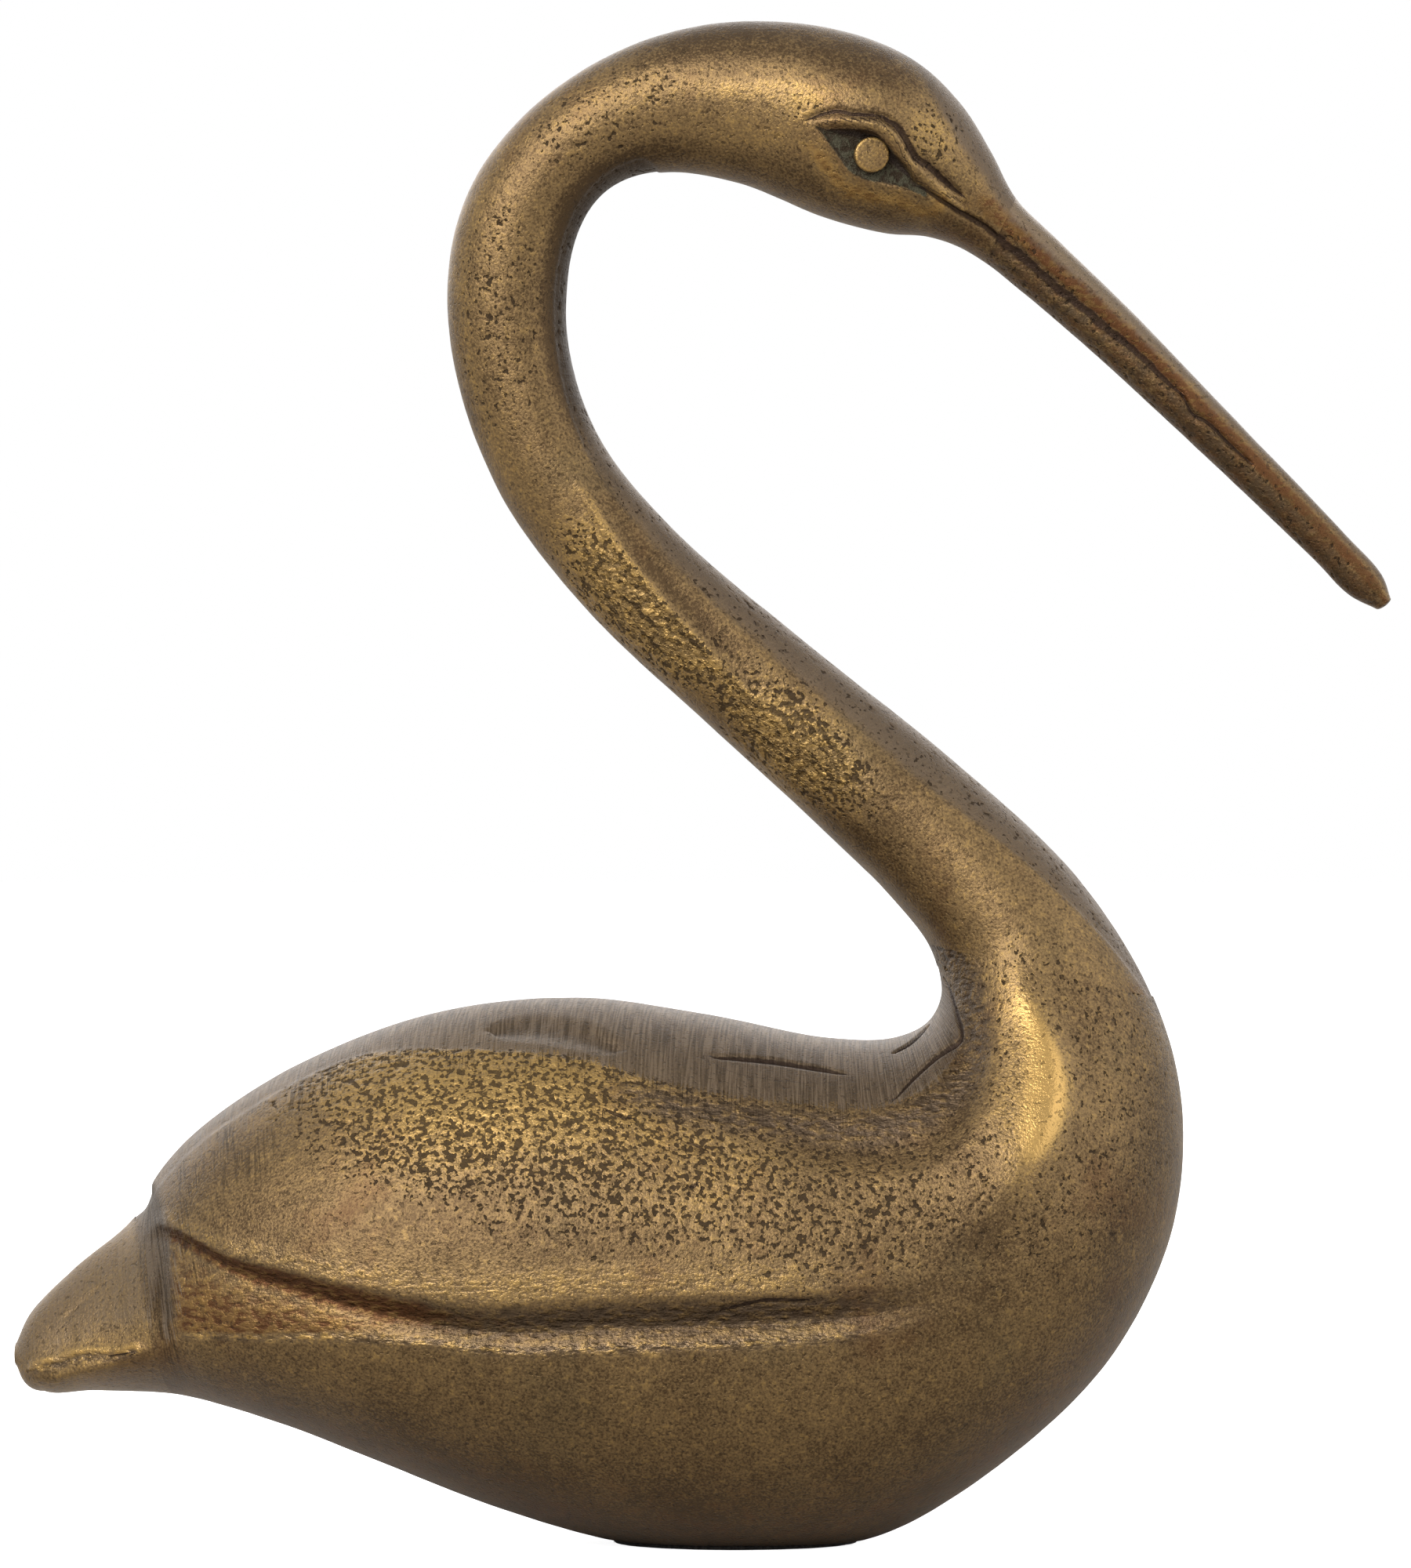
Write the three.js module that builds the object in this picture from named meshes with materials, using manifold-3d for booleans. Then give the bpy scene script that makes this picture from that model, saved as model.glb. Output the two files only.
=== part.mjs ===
// A cast brass crane at rest, its neck folded back over its body, made as it would be in a small
// foundry: two hollow body halves brazed along the spine, a tail, a solid neck with its head, a beak
// and two eye studs, each seated on a tenon or a shank, over a felt foot.
// Millimetres, +Z up. The bird faces +X and its left side is +Y. The origin is on the underside of
// the felt foot, below the lowest point of the belly.

import * as THREE from 'three';
import { mergeVertices } from 'three/addons/utils/BufferGeometryUtils.js';
import Module from 'manifold-3d';

const wasm = await Module();
wasm.setup();

// Overall sizes, to which the cuts drawn below are stretched
const LENGTH = 126.2; // from the tip of the tail to the tip of the beak
const HEIGHT = 139.6; // from the table to the top of the crown
const BODY_WIDTH = 45; // across the wings

// Walls and clearances
const BODY_WALL = 4; // cast wall of the hollow body
const SEAM_GAP = 0.1; // between the two body halves, filled with braze
const SHOULDER_GAP = 0.3; // between a casting's shoulder and the casting it is brazed to
const SOCKET_CLEARANCE = 0.3; // round a tenon or a shank, all the way round
const GLUE_FILM = 0.05; // between the felt and the ground face of the body

// Tenons and shanks
const NECK_TENON_DIAMETER = 9;
const NECK_TENON_LENGTH = 8;
const TAIL_TENON_DIAMETER = 6;
const TAIL_TENON_LENGTH = 6;
const BEAK_TENON_DIAMETER = 3;
const BEAK_TENON_LENGTH = 5;
const SOCKET_FLOOR = 0.5; // room left past the end of each tenon
const ROOT_SHARE = 0.25; // share of its diameter that a tenon is rooted in its own casting
const OVERCUT = 1; // how far a cutting rod starts outside the metal that it cuts

// Eyes
const EYE_DIAMETER = 3.2;
const EYE_THICKNESS = 0.7;
const EYE_GAP = 0.3; // under the stud's head
const EYE_SHANK_DIAMETER = 1.6;
const EYE_SHANK_LENGTH = 3;
const EYE_HOLLOW_DEPTH = 0.15; // of the almond hollow round the eye, at its two corners
const EYE_HOLLOW_HEIGHT = 4.8;
// Places on the head: how far along the run of cuts, and how far down from crown to throat.
const EYE_PLACE = [27.62, 0.64];
const EYE_REAR_CORNER = [26.79, 0.575];
const EYE_FRONT_CORNER = [28.78, 0.745];

// Foot
const FELT_THICKNESS = 0.4;
const FELT_INSET = 0.6; // the felt is cut smaller than the ground face all round
const VENT_DIAMETER = 4; // lets hot air out of the body while it is brazed, under the felt

// Relief of the wings
const WING_LIFT = 1.1; // how far the wing's lower edge stands off the flank
const WING_STEP = 0.035; // share of the section's depth that the step under the edge takes
const FLANK_HOLLOW = 0.5; // depth of the flute under the step
const RIDGE_LIFT = 0.4; // height of the fine ridge that runs on from the side of the tail
const MOUTH_DEPTH = 0.45; // the line between the two halves of the beak
const MOUTH_SPREAD = 0.09; // share of the beak's depth on each side of that line

// The overall sizes of the bird as its cuts are drawn
const DRAWN_LENGTH = 126.2;
const DRAWN_HEIGHT = 139.6;
const DRAWN_WIDTH = 45;

const stretched = ([x, z]) => [(x * LENGTH) / DRAWN_LENGTH, (z * HEIGHT) / DRAWN_HEIGHT];

// One cut through the bird, square to its run: where its back and its belly lie in the side view,
// [x, z], its full width, how far down it is widest, and how square its section is: 2 is an ellipse.
const cut = (back, belly, width, widest = 0.5, squareness = 2) => ({
  back: stretched(back),
  belly: stretched(belly),
  width: (width * BODY_WIDTH) / DRAWN_WIDTH,
  widest,
  squareness,
});

const TAIL = [
  cut([-66.5, 18.3], [-66.3, 16.1], 4.5, 0.7, 1.8),
  cut([-65.2, 21.0], [-63.8, 13.9], 9.5, 0.76, 1.7),
  cut([-61.2, 25.1], [-59.4, 13.9], 14.5, 0.78, 1.4),
];
const BODY = [
  cut([-55.6, 29.9], [-52.0, 13.6], 21, 0.7, 1.5), // in the filed nick at the root of the tail
  cut([-53.7, 33.7], [-47.0, 12.5], 26, 0.65, 1.8),
  cut([-49.1, 38.6], [-40.6, 10.5], 32.5, 0.6, 2),
  cut([-39.8, 44.4], [-32.7, 7.4], 39.5, 0.57, 2),
  cut([-27.7, 48.8], [-21.9, 3.2], 43.5, 0.55, 2),
  cut([-15.1, 50.1], [-11.2, 0.2], 45, 0.54, 2),
  cut([-3.2, 48.6], [0, -0.8], 45, 0.53, 2),
  cut([7.6, 46.5], [12.6, 0.7], 44, 0.51, 2),
  cut([14, 46.4], [24.8, 8.0], 42),
  cut([17.2, 47.9], [34.2, 17.4], 38),
  cut([18.4, 50.1], [39.6, 28.7], 31.5),
  cut([18.2, 52.3], [40.5, 40.4], 25),
];
const NECK = [
  cut([17.2, 55.0], [37.9, 50.1], 20.5), // on the brazed shoulder, above the breast
  cut([13.7, 59.4], [31.2, 60.9], 17),
  cut([7.7, 65.3], [19.9, 71.6], 14.2),
  cut([-2.4, 74.6], [6.3, 82.5], 12.6),
  cut([-14, 85.5], [-6, 93], 11.6),
  cut([-21.9, 96], [-12.7, 101.2], 11.2),
  cut([-26.3, 108.1], [-15.6, 109.5], 11),
  cut([-26.7, 117.8], [-15.5, 117.6], 11),
  cut([-24.3, 125.3], [-13.8, 122.2], 11),
  cut([-18.3, 132.4], [-11.2, 124.7], 11),
  cut([-9, 137.8], [-6.5, 125.8], 11.6),
  cut([0, 139.6], [0.2, 124.7], 13.2),
  cut([9, 138.8], [7.6, 121.7], 15.6),
  cut([15.5, 136.3], [13.3, 120.2], 15.6),
  cut([20.1, 132.2], [17.1, 119.9], 13),
  cut([22.9, 127.8], [19.9, 119], 9.8),
];
const BEAK = [
  cut([25.3, 123.4], [22.5, 117.5], 7.2), // on the brazed shoulder, in front of the forehead
  cut([29.3, 119.4], [26, 114.7], 6.2),
  cut([35.6, 113.3], [32.3, 109.3], 5.6),
  cut([45.7, 102.8], [42.5, 99.9], 4.9),
  cut([55.4, 92.7], [52.6, 90.3], 4.2),
  cut([58.9, 88.8], [55.9, 87], 3.8),
  cut([59.7, 86.7], [58.4, 85.7], 2.4),
];

const CUTS = [...TAIL, ...BODY, ...NECK, ...BEAK];
const TAIL_JOINT = TAIL.length;
const NECK_JOINT = TAIL_JOINT + BODY.length;
const BEAK_JOINT = NECK_JOINT + NECK.length;
const BEAK_TIP = CUTS.length - 1;

// How far down the section the wing's lower edge and the ridge below it run, at each cut of the
// body from the tail joint on. Past the end of the list the wing has died out into the breast.
const WING_EDGE = [0.1, 0.18, 0.39, 0.505, 0.545, 0.516, 0.484, 0.465, 0.5];
const RIDGE_LINE = [0.65, 0.647, 0.658, 0.649, 0.63, 0.598, 0.554, 0.535, 0.57];
const WING_FRONT = TAIL_JOINT + WING_EDGE.length - 1;
const WING_FADE = 1.6; // cuts over which the relief dies away towards the breast

const BRASS = new THREE.MeshStandardMaterial({ color: 0x8c6c3c, roughness: 0.42, metalness: 0.9 });
const RUBBED_BRASS = new THREE.MeshStandardMaterial({ color: 0xa8823f, roughness: 0.36, metalness: 0.9 });
const HEATED_BRASS = new THREE.MeshStandardMaterial({ color: 0x7c5630, roughness: 0.45, metalness: 0.9 });
const BLACK_FELT = new THREE.MeshStandardMaterial({ color: 0x1c1a18, roughness: 1, metalness: 0 });

// The skin: a smooth run through all the cuts

const runOf = (points) => new THREE.CatmullRomCurve3(points, false, 'centripetal');
const backLine = runOf(CUTS.map((c) => new THREE.Vector3(c.back[0], 0, c.back[1])));
const bellyLine = runOf(CUTS.map((c) => new THREE.Vector3(c.belly[0], 0, c.belly[1])));
const girthLine = new THREE.CatmullRomCurve3(
  CUTS.map((c) => new THREE.Vector3(c.width, c.widest, c.squareness)), false, 'catmullrom', 0.5,
);

// The cut at any place along the run, whole or in between, with `inset` of wall taken off all round.
function sectionAt(along, inset = 0) {
  const t = along / BEAK_TIP;
  const back = backLine.getPoint(t);
  const belly = bellyLine.getPoint(t);
  const girth = girthLine.getPoint(t);
  const down = belly.clone().sub(back).normalize();
  return {
    back: back.addScaledVector(down, inset),
    belly: belly.addScaledVector(down, -inset),
    down,
    halfWidth: girth.x / 2 - inset,
    widest: girth.y,
    squareness: girth.z,
  };
}

function readList(list, along) {
  const place = THREE.MathUtils.clamp(along - TAIL_JOINT, 0, list.length - 1);
  const index = Math.min(Math.floor(place), list.length - 2);
  return THREE.MathUtils.lerp(list[index], list[index + 1], place - index);
}

// Where the wing's edge, the foot of its step and the ridge lie at a place along the body.
function wingAt(along) {
  const edge = readList(WING_EDGE, along);
  return {
    edge,
    foot: edge + WING_STEP,
    ridge: Math.max(readList(RIDGE_LINE, along), edge + 2 * WING_STEP),
    strength: 1 - THREE.MathUtils.smoothstep(along, WING_FRONT - WING_FADE, WING_FRONT),
  };
}

function wingRelief(along, share) {
  const wing = wingAt(along);
  const { lerp, smoothstep } = THREE.MathUtils;
  let height;
  if (share <= wing.edge) height = WING_LIFT * smoothstep(share, 0, wing.edge);
  else if (share <= wing.foot) {
    height = lerp(WING_LIFT, -FLANK_HOLLOW, (share - wing.edge) / (wing.foot - wing.edge));
  } else if (share <= wing.ridge) {
    height = lerp(-FLANK_HOLLOW, RIDGE_LIFT, (share - wing.foot) / (wing.ridge - wing.foot));
  } else height = RIDGE_LIFT * (1 - smoothstep(share, wing.ridge, 1));
  return height * wing.strength;
}

// The line of the mouth, cut into each side of the beak and dying out before its tip.
function mouthRelief(along, share) {
  const offLine = Math.abs(share - 0.5) / MOUTH_SPREAD;
  const fade = 1 - THREE.MathUtils.smoothstep(along, BEAK_TIP - 3, BEAK_TIP - 1);
  return -MOUTH_DEPTH * Math.max(0, 1 - offLine) * fade;
}

const noRelief = () => 0;

// How far the skin stands off the middle plane, `share` of the way down from back to belly.
function sideAt(section, share) {
  const { widest, squareness, halfWidth } = section;
  const off = share < widest ? (widest - share) / widest : (share - widest) / (1 - widest);
  return halfWidth * Math.max(0, 1 - off ** squareness) ** (1 / squareness);
}

// Shares of the section's depth at which a ring has its points: close together at the back and
// the belly, where the skin turns over, and exactly on every mark in between.
function ringShares(marks, counts) {
  const shares = [];
  counts.forEach((count, leg) => {
    const from = marks[leg];
    const to = marks[leg + 1];
    for (let i = 0; i < count; i += 1) {
      const part = i / count;
      let eased = part;
      if (leg === 0) eased = 1 - Math.cos((part * Math.PI) / 2);
      else if (leg === counts.length - 1) eased = Math.sin((part * Math.PI) / 2);
      shares.push(from + (to - from) * eased);
    }
  });
  return [...shares, 1];
}

// Points down the right side of a section, from back to belly, at least `least` off the middle.
// Closed on itself, it is a ring round the right half alone, flat along the seam.
function sideRing(along, form, inset = 0, least = 0) {
  const section = sectionAt(along, inset);
  return ringShares(form.marks(along), form.counts).map((share, i, all) => {
    const point = section.back.clone().lerp(section.belly, share);
    const onMiddle = i === 0 || i === all.length - 1;
    const side = onMiddle ? 0 : sideAt(section, share) + form.relief(along, share);
    point.y = -Math.max(least, side);
    return point;
  });
}

// One closed ring of points: down the right side and up the left side again.
function wholeRing(along, form, inset = 0) {
  const right = sideRing(along, form, inset);
  const left = right.slice(1, -1).reverse().map((point) => new THREE.Vector3(point.x, -point.y, point.z));
  return [...right, ...left];
}

// A closed skin over rings of equal count, each end covered by a fan from the ring's middle.
function skinOver(rings) {
  const count = rings[0].length;
  const points = rings.flat();
  const faces = [];
  for (let i = 0; i + 1 < rings.length; i += 1) {
    for (let k = 0; k < count; k += 1) {
      const a = i * count + k;
      const b = i * count + ((k + 1) % count);
      faces.push(a, b, b + count, a, b + count, a + count);
    }
  }
  for (const [ring, start, forward] of [[rings[0], 0, false], [rings.at(-1), points.length - count, true]]) {
    const middle = ring.reduce((sum, p) => sum.add(p), new THREE.Vector3()).divideScalar(count);
    const hub = points.length;
    points.push(middle);
    for (let k = 0; k < count; k += 1) {
      const next = start + ((k + 1) % count);
      faces.push(...(forward ? [start + k, next, hub] : [next, start + k, hub]));
    }
  }
  const geometry = new THREE.BufferGeometry().setFromPoints(points);
  geometry.setIndex(faces);
  return geometry;
}

// Rings at even steps from one place on the run to another.
function ringsBetween(from, to, steps, ringAt) {
  const rings = [];
  for (let i = 0; i <= steps; i += 1) rings.push(ringAt(from + ((to - from) * i) / steps));
  return rings;
}

const slide = (ring, offset) => ring.map((point) => point.clone().add(offset));

// The plane on which two castings meet: its middle, and its normal towards the beak end.
function jointAt(along) {
  const section = sectionAt(along);
  return {
    middle: section.back.clone().lerp(section.belly, 0.5),
    onward: new THREE.Vector3(0, -1, 0).cross(section.down).normalize(),
  };
}

// Solids

const UP = new THREE.Vector3(0, 0, 1);
const REACH = 2 * (LENGTH + HEIGHT); // longer than the bird is in any direction

function toSolid(geometry) {
  const bare = geometry.clone();
  for (const name of ['normal', 'uv']) bare.deleteAttribute(name);
  const merged = mergeVertices(bare, 1e-4);
  return new wasm.Manifold(new wasm.Mesh({
    numProp: 3,
    vertProperties: new Float32Array(merged.attributes.position.array),
    triVerts: new Uint32Array(merged.index.array),
  }));
}

function toGeometry(solid) {
  const mesh = solid.getMesh();
  const geometry = new THREE.BufferGeometry();
  geometry.setAttribute('position', new THREE.BufferAttribute(mesh.vertProperties, 3));
  geometry.setIndex(new THREE.BufferAttribute(mesh.triVerts, 1));
  return geometry;
}

// The same piece for the bird's left side, its faces turned round so that they still point outwards.
function mirrored(geometry) {
  const mirror = geometry.clone().scale(1, -1, 1);
  const corners = mirror.index.array;
  for (let i = 0; i < corners.length; i += 3) [corners[i], corners[i + 1]] = [corners[i + 1], corners[i]];
  return mirror;
}

// A round rod from a point, along a direction.
function rod(start, direction, length, diameter, sides = 24) {
  const geometry = new THREE.CylinderGeometry(diameter / 2, diameter / 2, length, sides);
  geometry.translate(0, length / 2, 0);
  geometry.applyQuaternion(new THREE.Quaternion().setFromUnitVectors(new THREE.Vector3(0, 1, 0), direction));
  geometry.translate(start.x, start.y, start.z);
  return toSolid(geometry);
}

// Everything under a level, as far as the bird reaches.
function spaceBelow(level) {
  return toSolid(new THREE.BoxGeometry(REACH, REACH, REACH).translate(0, 0, level - REACH / 2));
}

// A tenon stands on a casting's end and points back down the run, into a socket in its neighbour.
function tenon(joint, towards, length, diameter) {
  const depth = SHOULDER_GAP + diameter * ROOT_SHARE;
  const root = joint.middle.clone().addScaledVector(towards, -depth);
  return rod(root, towards, length + depth, diameter);
}

function socket(joint, towards, length, diameter) {
  const mouth = joint.middle.clone().addScaledVector(towards, -OVERCUT);
  return rod(mouth, towards, length + SOCKET_FLOOR + OVERCUT, diameter + 2 * SOCKET_CLEARANCE);
}

const plainForm = (upper, lower) => ({
  marks: (along) => [0, sectionAt(along).widest, 1],
  counts: [upper, lower],
  relief: noRelief,
});

const bodyForm = {
  marks: (along) => {
    const { edge, foot, ridge } = wingAt(along);
    return [0, edge, foot, ridge, 1];
  },
  counts: [8, 1, 2, 7],
  relief: wingRelief,
};

const beakForm = {
  marks: () => [0, 0.5 - MOUTH_SPREAD, 0.5, 0.5 + MOUTH_SPREAD, 1],
  counts: [4, 1, 1, 4],
  relief: mouthRelief,
};

const tailJoint = jointAt(TAIL_JOINT);
const neckJoint = jointAt(NECK_JOINT);
const beakJoint = jointAt(BEAK_JOINT);
const backwards = (joint) => joint.onward.clone().negate();

// The right half of the body: a cast shell, ground flat underneath.
const CAVITY_FROM = TAIL_JOINT + 2.4; // leaves solid metal round the tail's tenon
const CAVITY_TO = NECK_JOINT - 2.3; // and round the neck's

function rightBodyHalf() {
  const rightRing = (along) => sideRing(along, bodyForm, 0, SEAM_GAP / 2);
  const cavityForm = plainForm(5, 5);
  const cavityRing = (along) => wholeRing(along, cavityForm, BODY_WALL);
  const outside = ringsBetween(TAIL_JOINT, NECK_JOINT, 30, rightRing);
  const inside = ringsBetween(CAVITY_FROM, CAVITY_TO, 12, cavityRing);
  const vent = rod(new THREE.Vector3(0, 0, -BODY_WALL), UP, 4 * BODY_WALL, VENT_DIAMETER);
  return toSolid(skinOver(outside))
    .subtract(spaceBelow(FELT_THICKNESS + GLUE_FILM))
    .subtract(toSolid(skinOver(inside)))
    .subtract(vent)
    .subtract(socket(tailJoint, tailJoint.onward, TAIL_TENON_LENGTH, TAIL_TENON_DIAMETER))
    .subtract(socket(neckJoint, backwards(neckJoint), NECK_TENON_LENGTH, NECK_TENON_DIAMETER));
}

// The tail: a solid wedge whose tenon points forward into the body.
function tail() {
  const form = plainForm(6, 6);
  const rings = ringsBetween(0, TAIL_JOINT, 9, (along) => wholeRing(along, form));
  const gap = tailJoint.onward.clone().multiplyScalar(-SHOULDER_GAP);
  rings[rings.length - 1] = slide(rings.at(-1), gap);
  return toSolid(skinOver(rings))
    .add(tenon(tailJoint, tailJoint.onward, TAIL_TENON_LENGTH, TAIL_TENON_DIAMETER));
}

// A point on the right side of the skin.
function skinPoint([along, share]) {
  const section = sectionAt(along);
  const point = section.back.clone().lerp(section.belly, share);
  point.y = -sideAt(section, share);
  return point;
}

// The floor of the hollow round the right eye: a plane a little under the skin at the hollow's two
// corners. `x` runs from corner to corner, `z` points out of the head.
function eyeFloor() {
  const rear = skinPoint(EYE_REAR_CORNER);
  const along = skinPoint(EYE_FRONT_CORNER).sub(rear);
  const toEye = skinPoint(EYE_PLACE).sub(rear);
  const x = along.clone().normalize();
  const z = new THREE.Vector3().crossVectors(sectionAt(EYE_PLACE[0]).down, x).normalize();
  const y = new THREE.Vector3().crossVectors(z, x);
  return {
    turn: new THREE.Quaternion().setFromRotationMatrix(new THREE.Matrix4().makeBasis(x, y, z)),
    outwards: z,
    corner: rear.clone().addScaledVector(z, -EYE_HOLLOW_DEPTH),
    length: along.length(),
    eye: [toEye.dot(x), toEye.dot(y)],
  };
}

// A point on that floor, or a height above it.
function onEyeFloor(floor, [across, up], height = 0) {
  return new THREE.Vector3(across, up, height).applyQuaternion(floor.turn).add(floor.corner);
}

// The almond hollow: two bows that meet in a corner at each end.
function eyeHollow(floor) {
  const almond = new THREE.Shape();
  almond.moveTo(0, 0);
  almond.quadraticCurveTo(floor.length / 2, EYE_HOLLOW_HEIGHT, floor.length, 0);
  almond.quadraticCurveTo(floor.length / 2, -EYE_HOLLOW_HEIGHT, 0, 0);
  const hollow = new THREE.ExtrudeGeometry(almond, { depth: EYE_DIAMETER, bevelEnabled: false, curveSegments: 8 });
  hollow.applyQuaternion(floor.turn).translate(floor.corner.x, floor.corner.y, floor.corner.z);
  return toSolid(hollow);
}

// The stud's shank, or the hole for it, down from a height above the floor.
function eyeShank(floor, height, length, diameter) {
  const start = onEyeFloor(floor, floor.eye, height);
  return rod(start, floor.outwards.clone().negate(), height + length, diameter, 12);
}

function rightEyeStud() {
  const floor = eyeFloor();
  const head = rod(onEyeFloor(floor, floor.eye, EYE_GAP), floor.outwards, EYE_THICKNESS, EYE_DIAMETER);
  const shank = eyeShank(floor, EYE_GAP + EYE_THICKNESS / 2, EYE_SHANK_LENGTH, EYE_SHANK_DIAMETER);
  return head.add(shank);
}

// The neck and head: one solid casting with a tenon at its foot and a socket for the beak.
function neckAndHead() {
  const form = plainForm(5, 5);
  const rings = ringsBetween(NECK_JOINT, BEAK_JOINT, 44, (along) => wholeRing(along, form));
  rings[0] = slide(rings[0], neckJoint.onward.clone().multiplyScalar(SHOULDER_GAP));
  const floor = eyeFloor();
  const shankHole = EYE_SHANK_DIAMETER + 2 * SOCKET_CLEARANCE;
  const eyeSeat = eyeHollow(floor)
    .add(eyeShank(floor, EYE_GAP, EYE_SHANK_LENGTH + SOCKET_FLOOR, shankHole));
  return toSolid(skinOver(rings))
    .add(tenon(neckJoint, backwards(neckJoint), NECK_TENON_LENGTH, NECK_TENON_DIAMETER))
    .subtract(socket(beakJoint, backwards(beakJoint), BEAK_TENON_LENGTH, BEAK_TENON_DIAMETER))
    .subtract(eyeSeat)
    .subtract(toSolid(mirrored(toGeometry(eyeSeat))));
}

// The beak: solid, with the line of the mouth down each side and a tenon into the head.
function beak() {
  const rings = ringsBetween(BEAK_JOINT, BEAK_TIP, 16, (along) => wholeRing(along, beakForm));
  rings[0] = slide(rings[0], beakJoint.onward.clone().multiplyScalar(SHOULDER_GAP));
  return toSolid(skinOver(rings))
    .add(tenon(beakJoint, backwards(beakJoint), BEAK_TENON_LENGTH, BEAK_TENON_DIAMETER));
}

// The ground face under the body: the oval on which the skin crosses the level of the felt's top.
function groundFace() {
  const level = FELT_THICKNESS + GLUE_FILM;
  const span = { from: Infinity, to: -Infinity, halfWidth: 0 };
  for (let along = TAIL_JOINT; along < NECK_JOINT; along += 0.05) {
    const section = sectionAt(along);
    if (section.belly.z >= level) continue;
    const share = (section.back.z - level) / (section.back.z - section.belly.z);
    const x = THREE.MathUtils.lerp(section.back.x, section.belly.x, share);
    span.from = Math.min(span.from, x);
    span.to = Math.max(span.to, x);
    span.halfWidth = Math.max(span.halfWidth, sideAt(section, share));
  }
  return span;
}

// The felt foot: an oval cut a little smaller than the ground face.
function feltFoot() {
  const face = groundFace();
  const oval = new THREE.Shape();
  const halfLength = (face.to - face.from) / 2 - FELT_INSET;
  oval.absellipse((face.from + face.to) / 2, 0, halfLength, face.halfWidth - FELT_INSET, 0, Math.PI * 2);
  const felt = new THREE.ExtrudeGeometry(oval, { depth: FELT_THICKNESS, bevelEnabled: false, curveSegments: 24 });
  return toSolid(felt);
}

const bodyHalf = toGeometry(rightBodyHalf());
const eyeStud = toGeometry(rightEyeStud());
const crane = new THREE.Group();
const pieces = [
  ['right_body_half', bodyHalf, BRASS],
  ['left_body_half', mirrored(bodyHalf), BRASS],
  ['tail', toGeometry(tail()), BRASS],
  ['neck_and_head', toGeometry(neckAndHead()), BRASS],
  ['beak', toGeometry(beak()), HEATED_BRASS],
  ['right_eye_stud', eyeStud, RUBBED_BRASS],
  ['left_eye_stud', mirrored(eyeStud), RUBBED_BRASS],
  ['felt_foot', toGeometry(feltFoot()), BLACK_FELT],
];
for (const [name, geometry, material] of pieces) {
  const mesh = new THREE.Mesh(geometry, material);
  mesh.name = name;
  crane.add(mesh);
}

export default crane;
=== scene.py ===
import math

import bpy
import numpy as np
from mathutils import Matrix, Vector


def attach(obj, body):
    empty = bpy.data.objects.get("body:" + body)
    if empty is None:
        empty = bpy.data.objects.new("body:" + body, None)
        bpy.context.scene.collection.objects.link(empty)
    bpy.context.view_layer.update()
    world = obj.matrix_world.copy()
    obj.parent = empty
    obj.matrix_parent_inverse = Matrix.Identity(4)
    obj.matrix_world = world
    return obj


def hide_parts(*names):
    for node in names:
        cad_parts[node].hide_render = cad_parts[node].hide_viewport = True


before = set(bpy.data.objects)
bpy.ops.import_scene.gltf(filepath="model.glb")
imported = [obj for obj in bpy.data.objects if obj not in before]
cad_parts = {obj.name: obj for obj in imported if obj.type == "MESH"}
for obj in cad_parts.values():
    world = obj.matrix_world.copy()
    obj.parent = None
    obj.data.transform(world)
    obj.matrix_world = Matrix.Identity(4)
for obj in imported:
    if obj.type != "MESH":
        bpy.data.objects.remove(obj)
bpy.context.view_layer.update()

# The two halves of the body. Hollow brass castings, brazed to each other along the spine, filed
# over the back and left with the pitted skin of the mould on the flanks. The wings stand off the
# flanks on a torn ledge. The bird faces +X and its right side, the one in the photograph, is -Y.

MM = 0.001
FAR = 6.0  # so many millimetres from an edge or a line, it has no more effect
TINY = 1e-12  # keeps a length that is divided by from being nothing

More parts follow.
